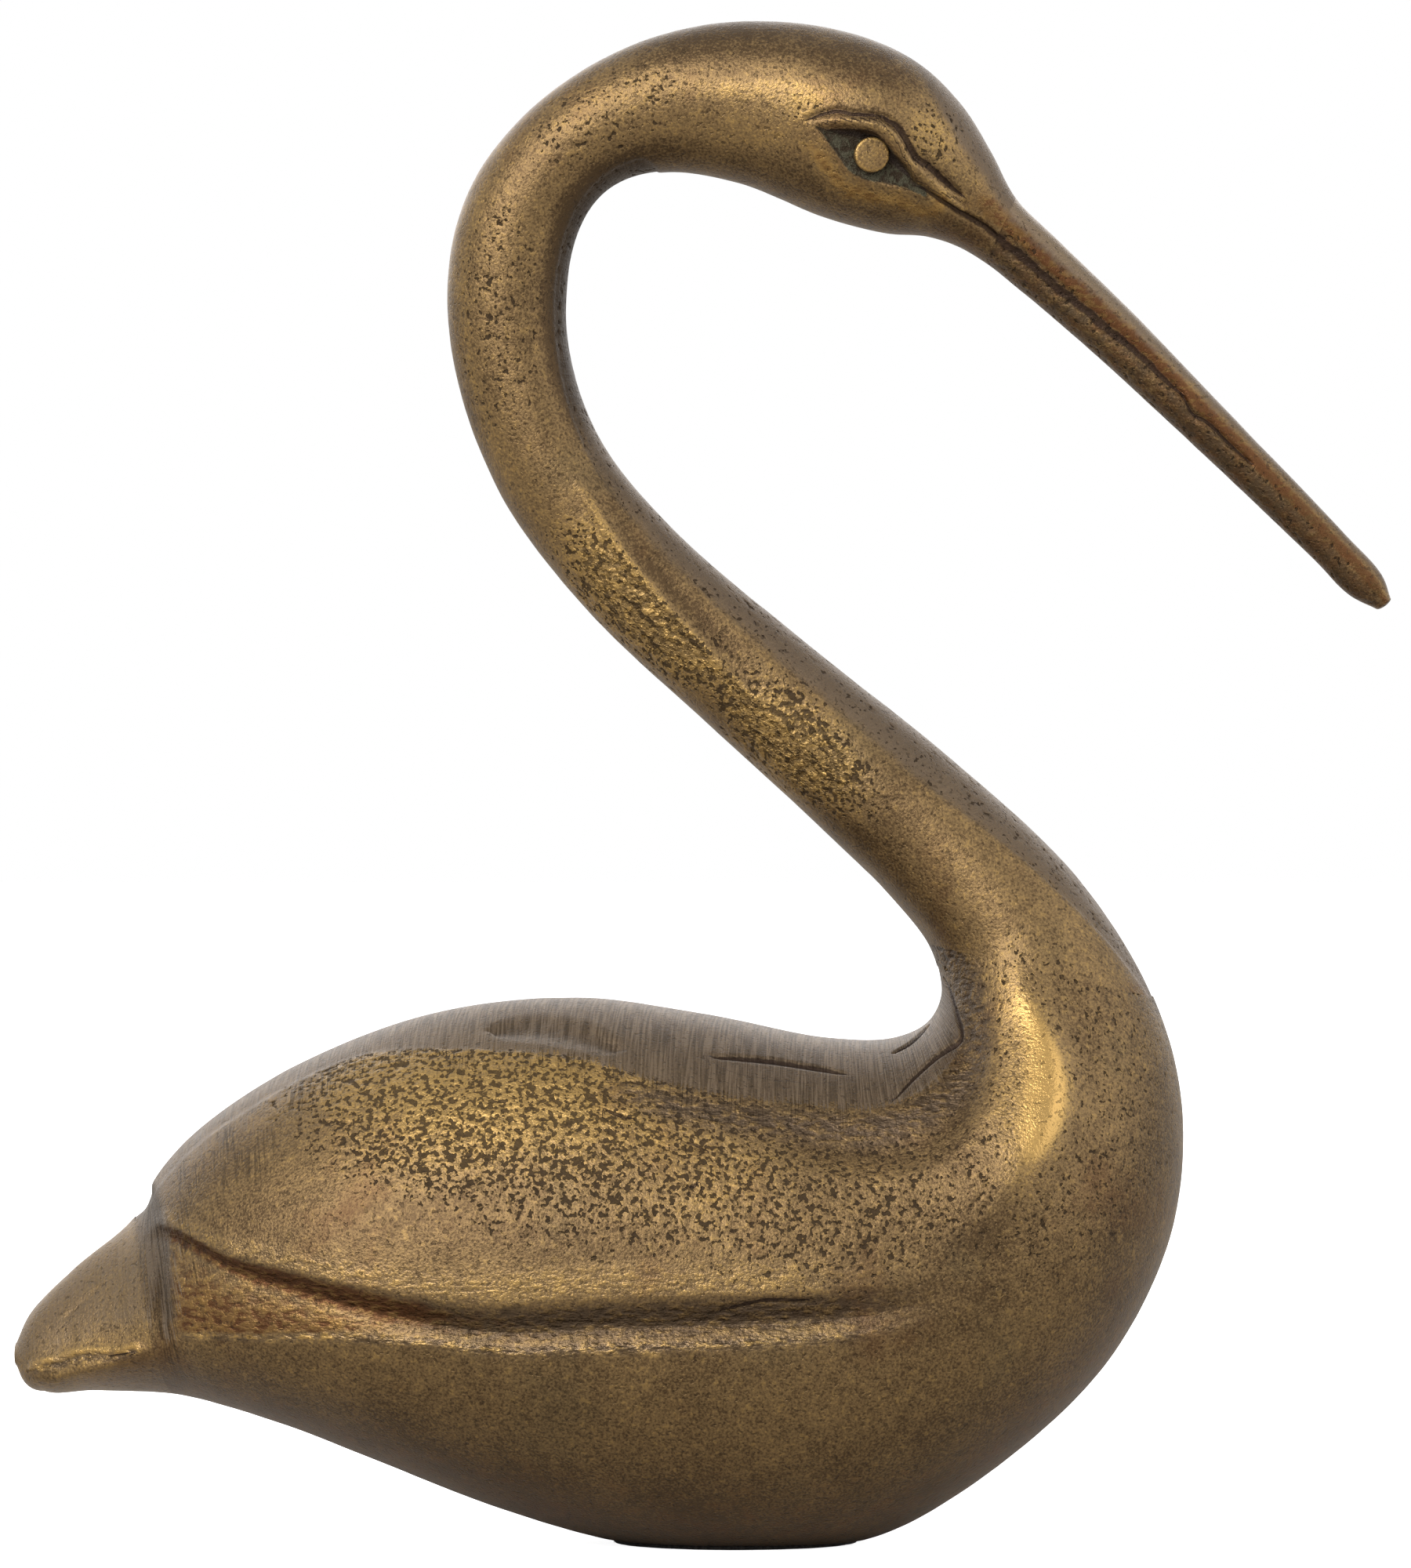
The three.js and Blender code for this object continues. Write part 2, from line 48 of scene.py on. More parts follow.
# Cuts square to the bird's run, in millimetres: back x and z, belly x and z in the side view, full
# width, how far down the cut is widest, and how square it is, where 2 is an ellipse. Where the last
# two are left out, the cut is an ellipse that is widest halfway down.
HALFWAY_ELLIPSE = [0.5, 2.0]
CUTS = [
    [-66.5, 18.3, -66.3, 16.1, 4.5, 0.70, 1.8],
    [-65.2, 21.0, -63.8, 13.9, 9.5, 0.76, 1.7],
    [-61.2, 25.1, -59.4, 13.9, 14.5, 0.78, 1.4],
    [-55.6, 29.9, -52.0, 13.6, 21.0, 0.70, 1.5],
    [-53.7, 33.7, -47.0, 12.5, 26.0, 0.65, 1.8],
    [-49.1, 38.6, -40.6, 10.5, 32.5, 0.60, 2.0],
    [-39.8, 44.4, -32.7, 7.4, 39.5, 0.57, 2.0],
    [-27.7, 48.8, -21.9, 3.2, 43.5, 0.55, 2.0],
    [-15.1, 50.1, -11.2, 0.2, 45.0, 0.54, 2.0],
    [-3.2, 48.6, 0.0, -0.8, 45.0, 0.53, 2.0],
    [7.6, 46.5, 12.6, 0.7, 44.0, 0.51, 2.0],
    [14.0, 46.4, 24.8, 8.0, 42.0],
    [17.2, 47.9, 34.2, 17.4, 38.0],
    [18.4, 50.1, 39.6, 28.7, 31.5],
    [18.2, 52.3, 40.5, 40.4, 25.0],
    [17.2, 55.0, 37.9, 50.1, 20.5],
    [13.7, 59.4, 31.2, 60.9, 17.0],
    [7.7, 65.3, 19.9, 71.6, 14.2],
    [-2.4, 74.6, 6.3, 82.5, 12.6],
    [-14.0, 85.5, -6.0, 93.0, 11.6],
    [-21.9, 96.0, -12.7, 101.2, 11.2],
    [-26.3, 108.1, -15.6, 109.5, 11.0],
    [-26.7, 117.8, -15.5, 117.6, 11.0],
    [-24.3, 125.3, -13.8, 122.2, 11.0],
    [-18.3, 132.4, -11.2, 124.7, 11.0],
    [-9.0, 137.8, -6.5, 125.8, 11.6],
    [0.0, 139.6, 0.2, 124.7, 13.2],
    [9.0, 138.8, 7.6, 121.7, 15.6],
    [15.5, 136.3, 13.3, 120.2, 15.6],
    [20.1, 132.2, 17.1, 119.9, 13.0],
    [22.9, 127.8, 19.9, 119.0, 9.8],
    [25.3, 123.4, 22.5, 117.5, 7.2],
    [29.3, 119.4, 26.0, 114.7, 6.2],
    [35.6, 113.3, 32.3, 109.3, 5.6],
    [45.7, 102.8, 42.5, 99.9, 4.9],
    [55.4, 92.7, 52.6, 90.3, 4.2],
    [58.9, 88.8, 55.9, 87.0, 3.8],
    [59.7, 86.7, 58.4, 85.7, 2.4],
]
CUTS = np.array([[*cut, *HALFWAY_ELLIPSE][:7] for cut in CUTS])
TAIL_JOINT = 3
NECK_JOINT = 15
BEAK_JOINT = 31
BEAK_TIP = 37
BACK_TO_BELLY = math.pi  # the turn round a section, from the back down the right side to the belly

GROUND_LEVEL = 0.45  # the belly is filed flat at this height, over the felt

# How far down the section the wing's lower edge and the ridge below it run, cut by cut.
WING_EDGE = [0.10, 0.18, 0.39, 0.505, 0.545, 0.516, 0.484, 0.465, 0.50]
RIDGE_LINE = [0.65, 0.647, 0.658, 0.649, 0.63, 0.598, 0.554, 0.535, 0.57]
WING_FRONT = TAIL_JOINT + len(WING_EDGE) - 1
WING_FADE = 1.6
WING_LIFT = 1.1
WING_STEP = 0.062
FLANK_HOLLOW = 0.5
RIDGE_LIFT = 0.4
FILE_LEAN = 0.08  # the file was pushed at a few degrees to the sections
BODY_RINGS = 330
BODY_POINTS = [134, 12, 46, 60]  # from the back to the wing's edge, the ledge's foot, the ridge, the belly

# The side view is the one from the camera, so what lies nearer to it shows a little larger.
CAMERA_DISTANCE = 600.0
VIEW_MIDDLE = (-3.2, 69.6)

# Lines drawn in the side view, in millimetres: x and z of points that they pass through.
FILED_EDGE = [(-57, 27.5), (-55.2, 30.4), (-50.7, 35.8), (-45.0, 39.9), (-39.2, 43.1), (-33.5, 45.0),
              (-23.7, 45.3), (-15.3, 44.6), (-12.1, 43.8), (-8.1, 42.5), (-3.2, 41.4), (4.0, 40.5),
              (11.2, 39.9), (14.7, 40.6), (18.0, 42.8), (19.9, 46.4), (19.1, 51.0), (18.3, 52.6)]
SLIT = [(-2.7, 44.7), (3.2, 44.2), (9.7, 43.1)]
CORNER_SCRATCH = [(14.0, 45.0), (15.7, 46.0), (17.3, 47.6)]
GOUGE = [(-23.0, 47.1), (-18.3, 47.2), (-14.0, 46.4), (-11.0, 45.4)]
CORNER_TEAR = [(18.6, 51.9), (19.2, 50.7), (19.9, 48.4), (20.1, 46.4), (18.8, 45.3), (16.3, 43.1),
               (14.0, 40.6)]
FLANK_CRACKS = [
    [(-12.5, 39.8), (-11.2, 39.2), (-9.9, 38.9)],
    [(-5.1, 36.8), (-4.2, 36.6), (-3.2, 36.0)],
    [(-4.9, 32.8), (-4.3, 32.7), (-3.8, 33.0)],
]
LEDGE_CRACK = [(-1.9, 21.2), (2.2, 22.1), (6.5, 22.1)]
FINE_LINES = [(SLIT, 0.28), (CORNER_SCRATCH, 0.16), (CORNER_TEAR, 0.24), (LEDGE_CRACK, 0.22)]
FINE_LINES += [(path, 0.2) for path in FLANK_CRACKS]
TAIL_NICK = [(-54.9, 31.8), (-53.6, 27.5), (-53.4, 24.2), (-53.1, 21.3), (-52.7, 18.8)]
NICK_WIDTH = 2.3
FOLD = [(-3.2, 39.0), (2.5, 37.7), (8.3, 36.5), (13.3, 36.1), (17.3, 37.2), (19.8, 40.0), (20.9, 43.7),
        (21.0, 47.5), (20.4, 51.0), (18.9, 54.5)]
FOLD_DEPTH = 0.7
FOLD_REACH = 3.2
CREST = [(23.4, 55.9), (24.8, 52.3), (27.1, 47.3), (28.3, 42.9), (28.1, 39.1), (26.6, 35.4), (23.7, 31.4),
         (20.1, 28.2), (16.9, 25.7)]
CREST_HEIGHT = 1.0
CREST_BEHIND = 8.5
CREST_BEFORE = 3.6
CREST_ROUNDING = 0.9

# How far down the section the filed inner side of the neck's bend begins, cut by cut.
FILED_FROM_CUT = 13
FILED_FROM = [1.2, 1.1, 0.97, 0.82, 0.72, 0.74, 0.79, 0.84, 0.90, 0.91, 0.91, 0.90, 0.88]
FILED_TO_CUT = 25.5


def soften(t):
    """An even change from 0 to 1."""
    t = np.clip(t, 0, 1)
    return t * t * (3 - 2 * t)


def band(gap, reach):
    """1 on a line, falling evenly to 0 at its reach on both sides."""
    return soften(1 - np.abs(gap) / reach)


def arch(along):
    """0 at both ends of a line and 1 in its middle."""
    return np.sin(math.pi * np.clip(along, 0, 1))


def smooth_run(knots, places, power=0.25):
    """Points at places along a smooth curve through the knots: power 0.25 is centripetal, 0 uniform."""
    knots = np.asarray(knots, float)
    places = np.asarray(places, float)
    index = np.clip(np.floor(places).astype(int), 0, len(knots) - 2)
    part = (places - index)[..., None]
    padded = np.vstack([2 * knots[0] - knots[1], knots, 2 * knots[-1] - knots[-2]])
    a, b, c, d = (padded[index + k] for k in range(4))
    ab, bc, cd = (
        np.maximum(np.sum((q - p) ** 2, -1, keepdims=True), TINY) ** power
        for p, q in ((a, b), (b, c), (c, d))
    )
    leave = ((b - a) / ab - (c - a) / (ab + bc) + (c - b) / bc) * bc
    arrive = ((c - b) / bc - (d - b) / (bc + cd) + (d - c) / cd) * bc
    squared = 3 * (c - b) - 2 * leave - arrive
    cubed = 2 * (b - c) + leave + arrive
    return b + leave * part + squared * part**2 + cubed * part**3


def sections(along):
    """The cuts at places along the run: back and belly points, half width, widest and squareness."""
    back = smooth_run(CUTS[:, 0:2], along)
    belly = smooth_run(CUTS[:, 2:4], along)
    girth = smooth_run(CUTS[:, 4:7], along, power=0)
    return back, belly, girth[..., 0] / 2, girth[..., 1], girth[..., 2]


def turn_to(share, widest):
    """The turn round a section at which a share of its depth is reached."""
    upper = 1 - np.minimum(share, widest) / widest
    lower = (np.maximum(share, widest) - widest) / (1 - widest)
    return np.arccos(np.clip(upper - lower, -1, 1))


def wing_lines(along):
    """How far down the section the wing's edge, the foot of its ledge and the ridge run, and how strong."""
    place = np.clip(along - TAIL_JOINT, 0, len(WING_EDGE) - 1)
    edge, ridge = (smooth_run(np.array(line)[:, None], place, 0)[..., 0] for line in (WING_EDGE, RIDGE_LINE))
    foot = edge + WING_STEP
    strength = soften(along - TAIL_JOINT - 0.2) * (1 - soften((along - WING_FRONT + WING_FADE) / WING_FADE))
    return edge, foot, np.maximum(ridge, foot + WING_STEP / 2), strength


def wing_relief(along, share):
    """How far the wing, the flute under its ledge and the ridge stand off the flank."""
    edge, foot, ridge, strength = wing_lines(along)
    height = WING_LIFT * soften(share / edge)
    step = WING_LIFT - (WING_LIFT + FLANK_HOLLOW) * soften((share - edge) / WING_STEP)
    flute = -FLANK_HOLLOW + (FLANK_HOLLOW + RIDGE_LIFT) * (share - foot) / (ridge - foot)
    height = np.where(share > edge, step, height)
    height = np.where(share > foot, flute, height)
    height = np.where(share > ridge, RIDGE_LIFT * (1 - soften((share - ridge) / (1 - ridge))), height)
    return height * strength


def skin_grid(along, turn, relief=None):
    """The plain skin on a grid of places along the run and turns round it, with the way out of it."""
    back, belly, half_width, widest, squareness = (part[:, None] for part in sections(along))
    lean = np.cos(turn)
    share = np.where(lean >= 0, widest * (1 - lean), widest - (1 - widest) * lean)
    side = half_width * np.maximum(0, 1 - np.abs(lean) ** squareness) ** (1 / squareness)
    if relief is not None:
        side = side + relief(along[:, None], share)
    hand = np.where(turn <= BACK_TO_BELLY, -1.0, 1.0)
    flat = back + (belly - back) * share[..., None]
    points = np.stack([flat[..., 0], hand * side, flat[..., 1]], -1)
    whole = turn.max() > BACK_TO_BELLY + 0.01
    if whole:
        round_step = np.roll(points, -1, 1) - np.roll(points, 1, 1)
    else:
        round_step = np.gradient(points, axis=1)
    outward = np.cross(round_step, np.gradient(points, axis=0))
    outward /= np.maximum(np.linalg.norm(outward, axis=-1, keepdims=True), TINY)
    on_middle = np.abs(np.sin(turn)) < 1e-6
    outward[..., 1] = np.where(on_middle, 0, outward[..., 1])
    outward /= np.maximum(np.linalg.norm(outward, axis=-1, keepdims=True), TINY)
    run = np.concatenate([[0], np.cumsum(np.linalg.norm(np.diff((back + belly)[:, 0] / 2, axis=0), axis=-1))])
    girth = np.linalg.norm(np.diff(points, axis=1, prepend=points[:, :1]), axis=-1).cumsum(1)
    if whole:
        girth = np.minimum(girth, girth[:, -1:] - girth)
    nearer = CAMERA_DISTANCE / (CAMERA_DISTANCE - side)
    return {
        "along": np.broadcast_to(along[:, None], turn.shape), "share": share, "hand": hand, "points": points,
        "outward": outward,
        "x": VIEW_MIDDLE[0] + (points[..., 0] - VIEW_MIDDLE[0]) * nearer,
        "z": VIEW_MIDDLE[1] + (points[..., 2] - VIEW_MIDDLE[1]) * nearer,
        "depth": np.broadcast_to(np.linalg.norm(belly - back, axis=-1), turn.shape),
        "skin": np.stack([run[:, None] + FILE_LEAN * girth, girth, np.zeros(turn.shape)], -1),
    }


def to_line(path, grid, steps=5):
    """Distance from a drawn line, positive on its left, and how far along it the nearest point is."""
    x, z = grid["x"], grid["z"]
    line = smooth_run(path, np.linspace(0, len(path) - 1, (len(path) - 1) * steps + 1))
    start, step = line[:-1], np.diff(line, axis=0)
    best = np.full(x.shape, np.inf)
    signed = np.zeros(x.shape)
    along = np.zeros(x.shape)
    for number, (a, s) in enumerate(zip(start, step)):
        dx, dz = x - a[0], z - a[1]
        part = np.clip((dx * s[0] + dz * s[1]) / (s @ s), 0, 1)
        gap = np.hypot(dx - part * s[0], dz - part * s[1])
        nearer = gap < best
        best = np.where(nearer, gap, best)
        signed = np.where(nearer, np.copysign(gap, s[0] * dz - s[1] * dx), signed)
        along = np.where(nearer, (number + part) / len(step), along)
    return signed, along


def stroke(path, grid, half_width, blunt=0.35):
    """1 in the middle of a groove along a drawn line, 0 at its sides, tapering to its ends."""
    gap, along = to_line(path, grid)
    return band(gap, half_width * np.maximum(arch(along), 1e-3) ** blunt)


def cut_grooves(height, grid, lines, depth, widening, blunt=0.35):
    """The height with a groove taken off it along each of some drawn lines."""
    for path, half_width in lines:
        height = height - depth * stroke(path, grid, half_width * widening, blunt)
    return height


def fine_lines(grid, lines):
    """How far a place lies to one side of the nearest of some drawn lines, in half widths of that line."""
    nearest = np.full(grid["x"].shape, FAR)
    for path, half_width in lines:
        gap, along = to_line(path, grid)
        gap = gap / (half_width * arch(np.clip(along, 0.02, 0.98)) ** 0.4)
        nearest = np.where(np.abs(gap) < np.abs(nearest), gap, nearest)
    return nearest


def patch(grid, middle, radii, tilt=0.0):
    """1 in the middle of an oval patch of the side view, falling evenly to 0 at its rim."""
    x, z = grid["x"] - middle[0], grid["z"] - middle[1]
    c, s = math.cos(tilt), math.sin(tilt)
    return soften(1.5 - 1.5 * np.hypot((x * c + z * s) / radii[0], (z * c - x * s) / radii[1]))


def raise_skin(grid, height):
    """The grid's points moved out along its normals by a height in millimetres."""
    grid["points"] = grid["points"] + grid["outward"] * height[..., None]


# Where a mask isn't given: no filing, grime or drawn line near, and nothing else at all.
PLAIN = {
    "ground": -FAR, "grime": -FAR, "cut": FAR, "pitted": 0, "scorched": 0, "rubbed_and_highlight": 0, "torn": 0, "painted_shade": 0,
}


def store(mesh, fields):
    """Keep values or directions in the mesh's points, where nodes and materials read them."""
    for key, value in fields.items():
        vector = value.size > len(mesh.vertices)
        layer = mesh.attributes.new(key, "FLOAT_VECTOR" if vector else "FLOAT", "POINT")
        layer.data.foreach_set("vector" if vector else "value", value.astype(np.float32).ravel())


def add_object(name, data):
    """An object with this mesh, lamp or camera, in the scene."""
    made = bpy.data.objects.new(name, data)
    bpy.context.collection.objects.link(made)
    return made


def casting_mesh(name, grid, masks, ends=("flat", "flat"), tip=0.6, left=False):
    """A closed mesh over the grid's rings, each end flat or drawn to a rounded tip, with its masks."""
    points = grid["points"].copy()
    fields = {"outward": grid["outward"].copy(), "skin": grid["skin"] * MM}
    for key, value in {**PLAIN, **masks}.items():
        fields[key] = np.clip(np.broadcast_to(value, grid["x"].shape), -FAR, FAR)
    for end, first in zip(ends, (True, False)):
        if end == "flat":
            continue
        ring = points[0] if first else points[-1]
        onward = (ring - (points[1] if first else points[-2])).mean(0)
        onward /= np.linalg.norm(onward)
        middle = ring.mean(0)
        turns = np.linspace(0, math.pi / 2, 9)[1:-1]
        extra = np.array([middle + (ring - middle) * math.cos(t) + onward * tip * math.sin(t) for t in turns])
        points = np.concatenate([extra[::-1], points] if first else [points, extra])
        for key, value in fields.items():
            copies = np.repeat(value[:1] if first else value[-1:], len(turns), 0)
            fields[key] = np.concatenate([copies, value] if first else [value, copies])
    low = points[..., 2] < GROUND_LEVEL
    points[..., 2] = np.maximum(points[..., 2], GROUND_LEVEL)
    fields["outward"][low] = 0
    rings, count = points.shape[:2]
    corner = np.arange(rings * count).reshape(rings, count)
    beside = np.roll(corner, -1, 1)
    quads = np.stack([corner[:-1], corner[1:], beside[1:], beside[:-1]], -1).reshape(-1, 4)
    faces = quads.tolist() + [corner[0].tolist(), corner[-1][::-1].tolist()]
    if left:
        points[..., 1] *= -1
        fields["outward"][..., 1] *= -1
        faces = [face[::-1] for face in faces]
    mesh = bpy.data.meshes.new(name)
    mesh.from_pydata((points.reshape(-1, 3) * MM).tolist(), [], faces)
    flat = np.zeros(len(faces), bool)
    flat[[-2, -1]] = [end == "flat" for end in ends]
    half = grid["hand"].max() < 0
    if half:
        flat[count - 1:len(quads):count] = True
    mesh.polygons.foreach_set("use_smooth", ~flat)
    edges = np.empty(len(mesh.edges) * 2, np.int32)
    mesh.edges.foreach_get("vertices", edges)
    ring, place = np.divmod(edges.reshape(-1, 2), count)
    sharp = (ring == 0).all(1) | (ring == rings - 1).all(1)
    if half:
        sharp |= (place == 0).all(1) | (place == count - 1).all(1)
    mesh.attributes.new("sharp_edge", "BOOLEAN", "EDGE").data.foreach_set("value", sharp)
    store(mesh, fields)
    return add_object(name, mesh)


class Wire:
    """A socket of a node tree that can be reckoned with like a number."""

    def __init__(self, tree, socket=None):
        self.tree = tree
        self.socket = socket

    def node(self, kind, settings=None, inputs=None, output=0):
        """Any node: its settings first, then the values and links of its sockets."""
        made = self.tree.nodes.new(kind)
        for key, value in (settings or {}).items():
            setattr(made, key, value)
        for key, value in (inputs or {}).items():
            if isinstance(value, Wire):
                self.tree.links.new(value.socket, made.inputs[key])
            else:
                made.inputs[key].default_value = value
        return Wire(self.tree, made.outputs[output])

    def math(self, operation, *values):
        return self.node("ShaderNodeMath", {"operation": operation}, dict(enumerate(values)))

    def __add__(self, other):
        return self.math("ADD", self, other)

    __radd__ = __add__

    def __mul__(self, other):
        return self.math("MULTIPLY", self, other)

    __rmul__ = __mul__

    def __sub__(self, other):
        return self.math("SUBTRACT", self, other)

    def __rsub__(self, other):
        return self.math("SUBTRACT", other, self)

    def __rtruediv__(self, other):
        return self.math("DIVIDE", other, self)

    def most(self, other):
        return self.math("MAXIMUM", self, other)

    def rise(self, low, high):
        """0 below low and 1 above high, with an even change between them."""
        return self.node(
            "ShaderNodeMapRange", {"interpolation_type": "SMOOTHSTEP"},
            {"Value": self, "From Min": low, "From Max": high},
        )

    def stretched(self, sizes):
        """A place measured in steps of the given sizes, in metres."""
        steps = tuple(1 / size for size in sizes)
        return self.node("ShaderNodeVectorMath", {"operation": "MULTIPLY"}, {0: self, 1: steps})

    def noise(self, size, detail=2.0, rough=0.5):
        """Noise whose lumps are about this size, in metres."""
        inputs = {"Vector": self, "Scale": 1 / size, "Detail": detail, "Roughness": rough}
        return self.node("ShaderNodeTexNoise", None, inputs)

    def plain(self, colour):
        """One colour all over."""
        made = self.node("ShaderNodeRGB")
        made.socket.default_value = colour
        return made

    def toward(self, other, factor):
        """This colour changed towards another one by a factor."""
        return self.node("ShaderNodeMix", {"data_type": "RGBA"}, {0: factor, 6: self, 7: other}, output=2)

    def bumped(self):
        """The normal of a surface that stands this high, in millimetres."""
        inputs = {"Strength": 1.0, "Distance": MM, "Height": self}
        return self.node("ShaderNodeBump", None, inputs, output="Normal")


PIT_SIZE = 0.5 * MM
PIT_LOW = 0.50  # the noise above which metal is missing where the skin is most pitted
PIT_FEWER = 0.14  # how much higher that is where it is hardly pitted
TEAR_SIZES = (1.0 * MM, 0.7 * MM, MM)  # along the run and round it
TEAR_DEPTH = 1.9  # in fine pits


def pits_at(place, skin, pitted):
    """How deep a place lies in a pit, for the mesh and for the colour alike; above 1 it is torn coarsely."""
    worms = place.noise(PIT_SIZE, 1.5, 0.55)
    level = PIT_LOW + PIT_FEWER * (1 - pitted).most(0)
    fine = (worms - level).rise(0.0, 0.07) * pitted.rise(0.0, 0.15)
    coarse = skin.stretched(TEAR_SIZES).noise(1, 2.5, 0.6).rise(0.49, 0.66) * (pitted - 1).rise(0.0, 0.5)
    return fine.most(coarse * TEAR_DEPTH)


def open_group(name, inputs):
    """A Geometry Nodes tree with inputs of its own, to build in, and a wire from each input."""
    tree = bpy.data.node_groups.new(name, "GeometryNodeTree")
    tree.is_modifier = True
    for label, kind, value in (
        ("Geometry", "NodeSocketGeometry", None), *inputs, ("Material", "NodeSocketMaterial", None),
    ):
        socket = tree.interface.new_socket(name=label, in_out="INPUT", socket_type=kind)
        if value is not None:
            socket.default_value = value
    tree.interface.new_socket(name="Geometry", in_out="OUTPUT", socket_type="NodeSocketGeometry")
    start = tree.nodes.new("NodeGroupInput")
    return Wire(tree), {socket.name: Wire(tree, socket) for socket in start.outputs}


def close_group(shape, material):
    """Send a shape, made real and given its material, out of its tree."""
    real = shape.node("GeometryNodeRealizeInstances", None, {"Geometry": shape})
    painted = shape.node("GeometryNodeSetMaterial", None, {"Geometry": real, "Material": material})
    end = shape.tree.nodes.new("NodeGroupOutput")
    shape.tree.links.new(painted.socket, end.inputs[0])
    return shape.tree


def cast_skin_tree():
    """Geometry Nodes that give a casting its uneven skin: slow swells, grain and pits."""
    build, given = open_group("cast skin", (
        ("Swell size", "NodeSocketFloat", 5 * MM), ("Swell height", "NodeSocketFloat", 0.05 * MM),
        ("Grain size", "NodeSocketFloat", 1.3 * MM), ("Grain height", "NodeSocketFloat", 0.02 * MM),
        ("Pit depth", "NodeSocketFloat", 0.09 * MM),
    ))

    def stored(name, kind="FLOAT"):
        return build.node("GeometryNodeInputNamedAttribute", {"data_type": kind}, {"Name": name})

    place = build.node("GeometryNodeInputPosition")
    swell = place.noise(given["Swell size"], 1.0)
    grain = place.noise(given["Grain size"], 2.0)
    ground = stored("ground")
    pits = pits_at(place, stored("skin", "FLOAT_VECTOR"), stored("pitted"))
    height = (swell - 0.5) * 2 * given["Swell height"]
    height = height + (grain - 0.5) * 2 * given["Grain height"] * (1 - 0.7 * ground.rise(-0.2, 0.4))
    height = height - pits * given["Pit depth"]
    outward = stored("outward", "FLOAT_VECTOR")
    offset = build.node("ShaderNodeVectorMath", {"operation": "SCALE"}, {0: outward, "Scale": height})
    moved = build.node("GeometryNodeSetPosition", None, {"Geometry": given["Geometry"], "Offset": offset})
    return close_group(moved, given["Material"])


def evaluate_nodes(made, tree, values):
    """Run a Geometry Nodes tree on an object once and keep its result as a plain mesh."""
    modifier = made.modifiers.new(tree.name, "NODES")
    modifier.node_group = tree
    for item in tree.interface.items_tree:
        if item.in_out == "INPUT" and item.name in values:
            modifier[item.identifier] = values[item.name]
    bpy.context.view_layer.update()
    graph = bpy.context.evaluated_depsgraph_get()
    ready = made.evaluated_get(graph)
    mesh = bpy.data.meshes.new_from_object(ready, preserve_all_data_layers=True, depsgraph=graph)
    made.modifiers.remove(modifier)
    mesh.name = made.name
    made.data = mesh


# The gold of rubbed edges, also used for painted highlights.
POLISHED_AND_HIGHLIGHT = (0.430, 0.268, 0.088, 1)
GOLD = (0.325, 0.207, 0.070, 1)
BRONZE = (0.175, 0.113, 0.050, 1)
DARK_BROWN = (0.066, 0.040, 0.018, 1)
PIT_BROWN = (0.024, 0.014, 0.006, 1)
FILED_BRIGHT = (0.190, 0.145, 0.101, 1)
FILED_GREY = (0.114, 0.083, 0.057, 1)
FILED_DARK = (0.034, 0.025, 0.017, 1)
LINE_BROWN = (0.020, 0.011, 0.008, 1)
TORN_BROWN = (0.098, 0.070, 0.048, 1)
COPPER = (0.130, 0.061, 0.014, 1)
RUST = (0.080, 0.030, 0.011, 1)
OLIVE = (0.083, 0.070, 0.038, 1)
GRIME = (0.055, 0.053, 0.034, 1)


def open_tree(owner):
    """The emptied node tree of a material or a world, to build in."""
    owner.use_nodes = True
    owner.node_tree.nodes.clear()
    return Wire(owner.node_tree)


def close_tree(surface, kind="ShaderNodeOutputMaterial"):
    """Send a surface out of its tree."""
    end = surface.tree.nodes.new(kind)
    surface.tree.links.new(surface.socket, end.inputs["Surface"])


